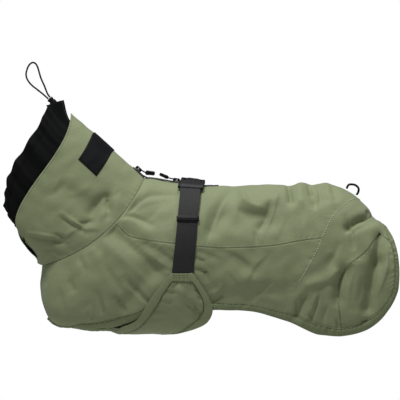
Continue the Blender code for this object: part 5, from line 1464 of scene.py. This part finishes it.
def sew(name, lines, thread, slot):
    """One piece of all the stitches along these lines, on both sides of the jacket."""
    points, quads, count = [], [], 0
    for uv, out, table, folds, creases, pitch, length, wide in lines:
        uv = finer(uv, 6, (0,))
        out = out(uv) if callable(out) else out
        for far in (False, True):
            p, n = skin(uv, out, far, table, folds, creases)
            body, q = stitch_line(p, n, pitch, length, wide)
            points.append(body)
            quads.append((q[:, ::-1] if far else q) + count)
            count += len(body)
    wear(mesh_piece(name, np.concatenate(points), np.concatenate(quads).tolist(), thread), (), slot)


ON_BODY = (BODY, FOLDS, CREASES)
rear_border = np.concatenate([REAR_TOP, REAR_LOW[1:]])
rear_line = resample(rear_border, 40)
rear_next = rear_line + np.array((0.05, 0.0))
side_line = resample(side, 50)
thigh_fine = resample(thigh_line, 30)
pale = [(inset(rear_line, rear_next, -0.6)[:33], 0.24) + ON_BODY + (3.4, 2.5, 0.64)]
pale += [(inset(side_line, side_line - np.array((0.0, 0.05)), 2.0), 0.18) + ON_BODY + (3.2, 1.7, 0.40)]
COLLAR_SET = tuple(ON_COLLAR.values())
rim_v = np.linspace(0.0, 1.0, 60)
rim_step = np.linalg.norm(form(np.ones(60), rim_v, COLLAR) - form(np.full(60, 0.9), rim_v, COLLAR), axis=-1)
pale += [(np.stack([1.0 - 0.13 / rim_step, rim_v], 1), 0.50) + COLLAR_SET + (2.8, 1.8, 0.34),
         (np.stack([0.022 + 0 * rim_v, rim_v], 1)[22:], 0.20) + COLLAR_SET + (3.2, 1.7, 0.36)]
sew("topstitch_pale", pale, "pale_thread", "shell_green")
soft = [(inset(thigh_fine, thigh_fine - np.array((0.02, 0.02)), 1.8), 0.15) + ON_BODY + (2.8, 1.6, 0.28)]
for strip in (strip_grid(hem_a, hem_b, 3), leg_uv):
    soft += [(strip[:, 0] * 0.84 + strip[:, -1] * 0.16, 0.02) + ON_BODY + (3.6, 2.3, 0.42)]
BARE = (BODY, (), ())
line = flap_edge[:, 0] * 0.87 + flap_edge[:, -1] * 0.13
soft += [(line, lambda uv: WING_OFF - (BIB_RISE + 0.13 * BIB_TILT) * bib_share(uv)) + BARE + (3.4, 2.4, 0.46)]
soft += [(find(((-22.0, z), (-9.5, z + 0.2), (3.0, z))), WING_OFF + 0.08) + BARE + (3.2, 2.2, 0.36)
         for z in (-110.4, -113.2)]
# These stitches are near black: the thread's own colour plus painted shade of the grooves they lie in.
sew("seam_stitches", soft, "thread_and_groove_shade", "trim_green")

# Black stitches round the label.
label_ring = join(label_uv[:, 0], label_uv[-1], label_uv[::-1, -1])
label_mid = label_uv.reshape(-1, 2).mean(0)
label_in = label_mid + (label_ring - label_mid) * np.array((0.88, 0.90))
sew("label_stitches", [(label_in, 1.32) + COLLAR_SET + (2.4, 1.6, 0.22)], "black_thread", "black_cloth")

# Lights and ground.
scene = bpy.context.scene
scene.view_settings.view_transform = "Standard"
world = bpy.data.worlds.new("studio")
scene.world = world
world.use_nodes = True
net = world.node_tree
net.nodes.clear()
out = net.nodes.new("ShaderNodeOutputWorld")
mix = net.nodes.new("ShaderNodeMixShader")
seen = net.nodes.new("ShaderNodeBackground")
fill = net.nodes.new("ShaderNodeBackground")
path = net.nodes.new("ShaderNodeLightPath")
seen.inputs["Color"].default_value = (1, 1, 1, 1)
seen.inputs["Strength"].default_value = 1.0
fill.inputs["Color"].default_value = (0.98, 0.99, 1.0, 1)
fill.inputs["Strength"].default_value = 0.20
net.links.new(path.outputs["Is Camera Ray"], mix.inputs[0])
net.links.new(fill.outputs[0], mix.inputs[1])
net.links.new(seen.outputs[0], mix.inputs[2])
net.links.new(mix.outputs[0], out.inputs[0])
# Area lights: place, what they face, size and power.
LIGHTS = {"key": ((-0.50, -0.92, 2.0), (0.0, 0.0, -0.03), 0.45, 30.0),
          "top": ((0.25, 0.10, 2.0), (0.02, 0.0, 0.0), 0.8, 17.0)}
for name, (place_at, aim, size, power) in LIGHTS.items():
    data = bpy.data.lights.new(name, "AREA")
    data.size = size
    data.energy = power
    lamp = bpy.data.objects.new(name, data)
    scene.collection.objects.link(lamp)
    away = np.array(aim) - np.array(place_at)
    flat = np.hypot(away[0], away[1])
    lamp.location = place_at
    lamp.rotation_euler = (pi / 2 + np.arctan2(away[2], flat), 0, np.arctan2(away[1], away[0]) - pi / 2)
GROUND_HALF, GROUND_Z = 1.6, -0.5
ground_mesh = bpy.data.meshes.new("ground")
corners = [(x * GROUND_HALF, y * GROUND_HALF, GROUND_Z) for x, y in ((-1, -1), (1, -1), (1, 1), (-1, 1))]
ground_mesh.from_pydata(corners, [], [(0, 1, 2, 3)])
ground = bpy.data.objects.new("ground", ground_mesh)
scene.collection.objects.link(ground)
ground_look = bpy.data.materials.new("ground")
ground_look.use_nodes = True
ground_bsdf = ground_look.node_tree.nodes["Principled BSDF"]
ground_bsdf.inputs["Base Color"].default_value = (0.62, 0.62, 0.60, 1)
ground_bsdf.inputs["Roughness"].default_value = 0.9
ground_mesh.materials.append(ground_look)
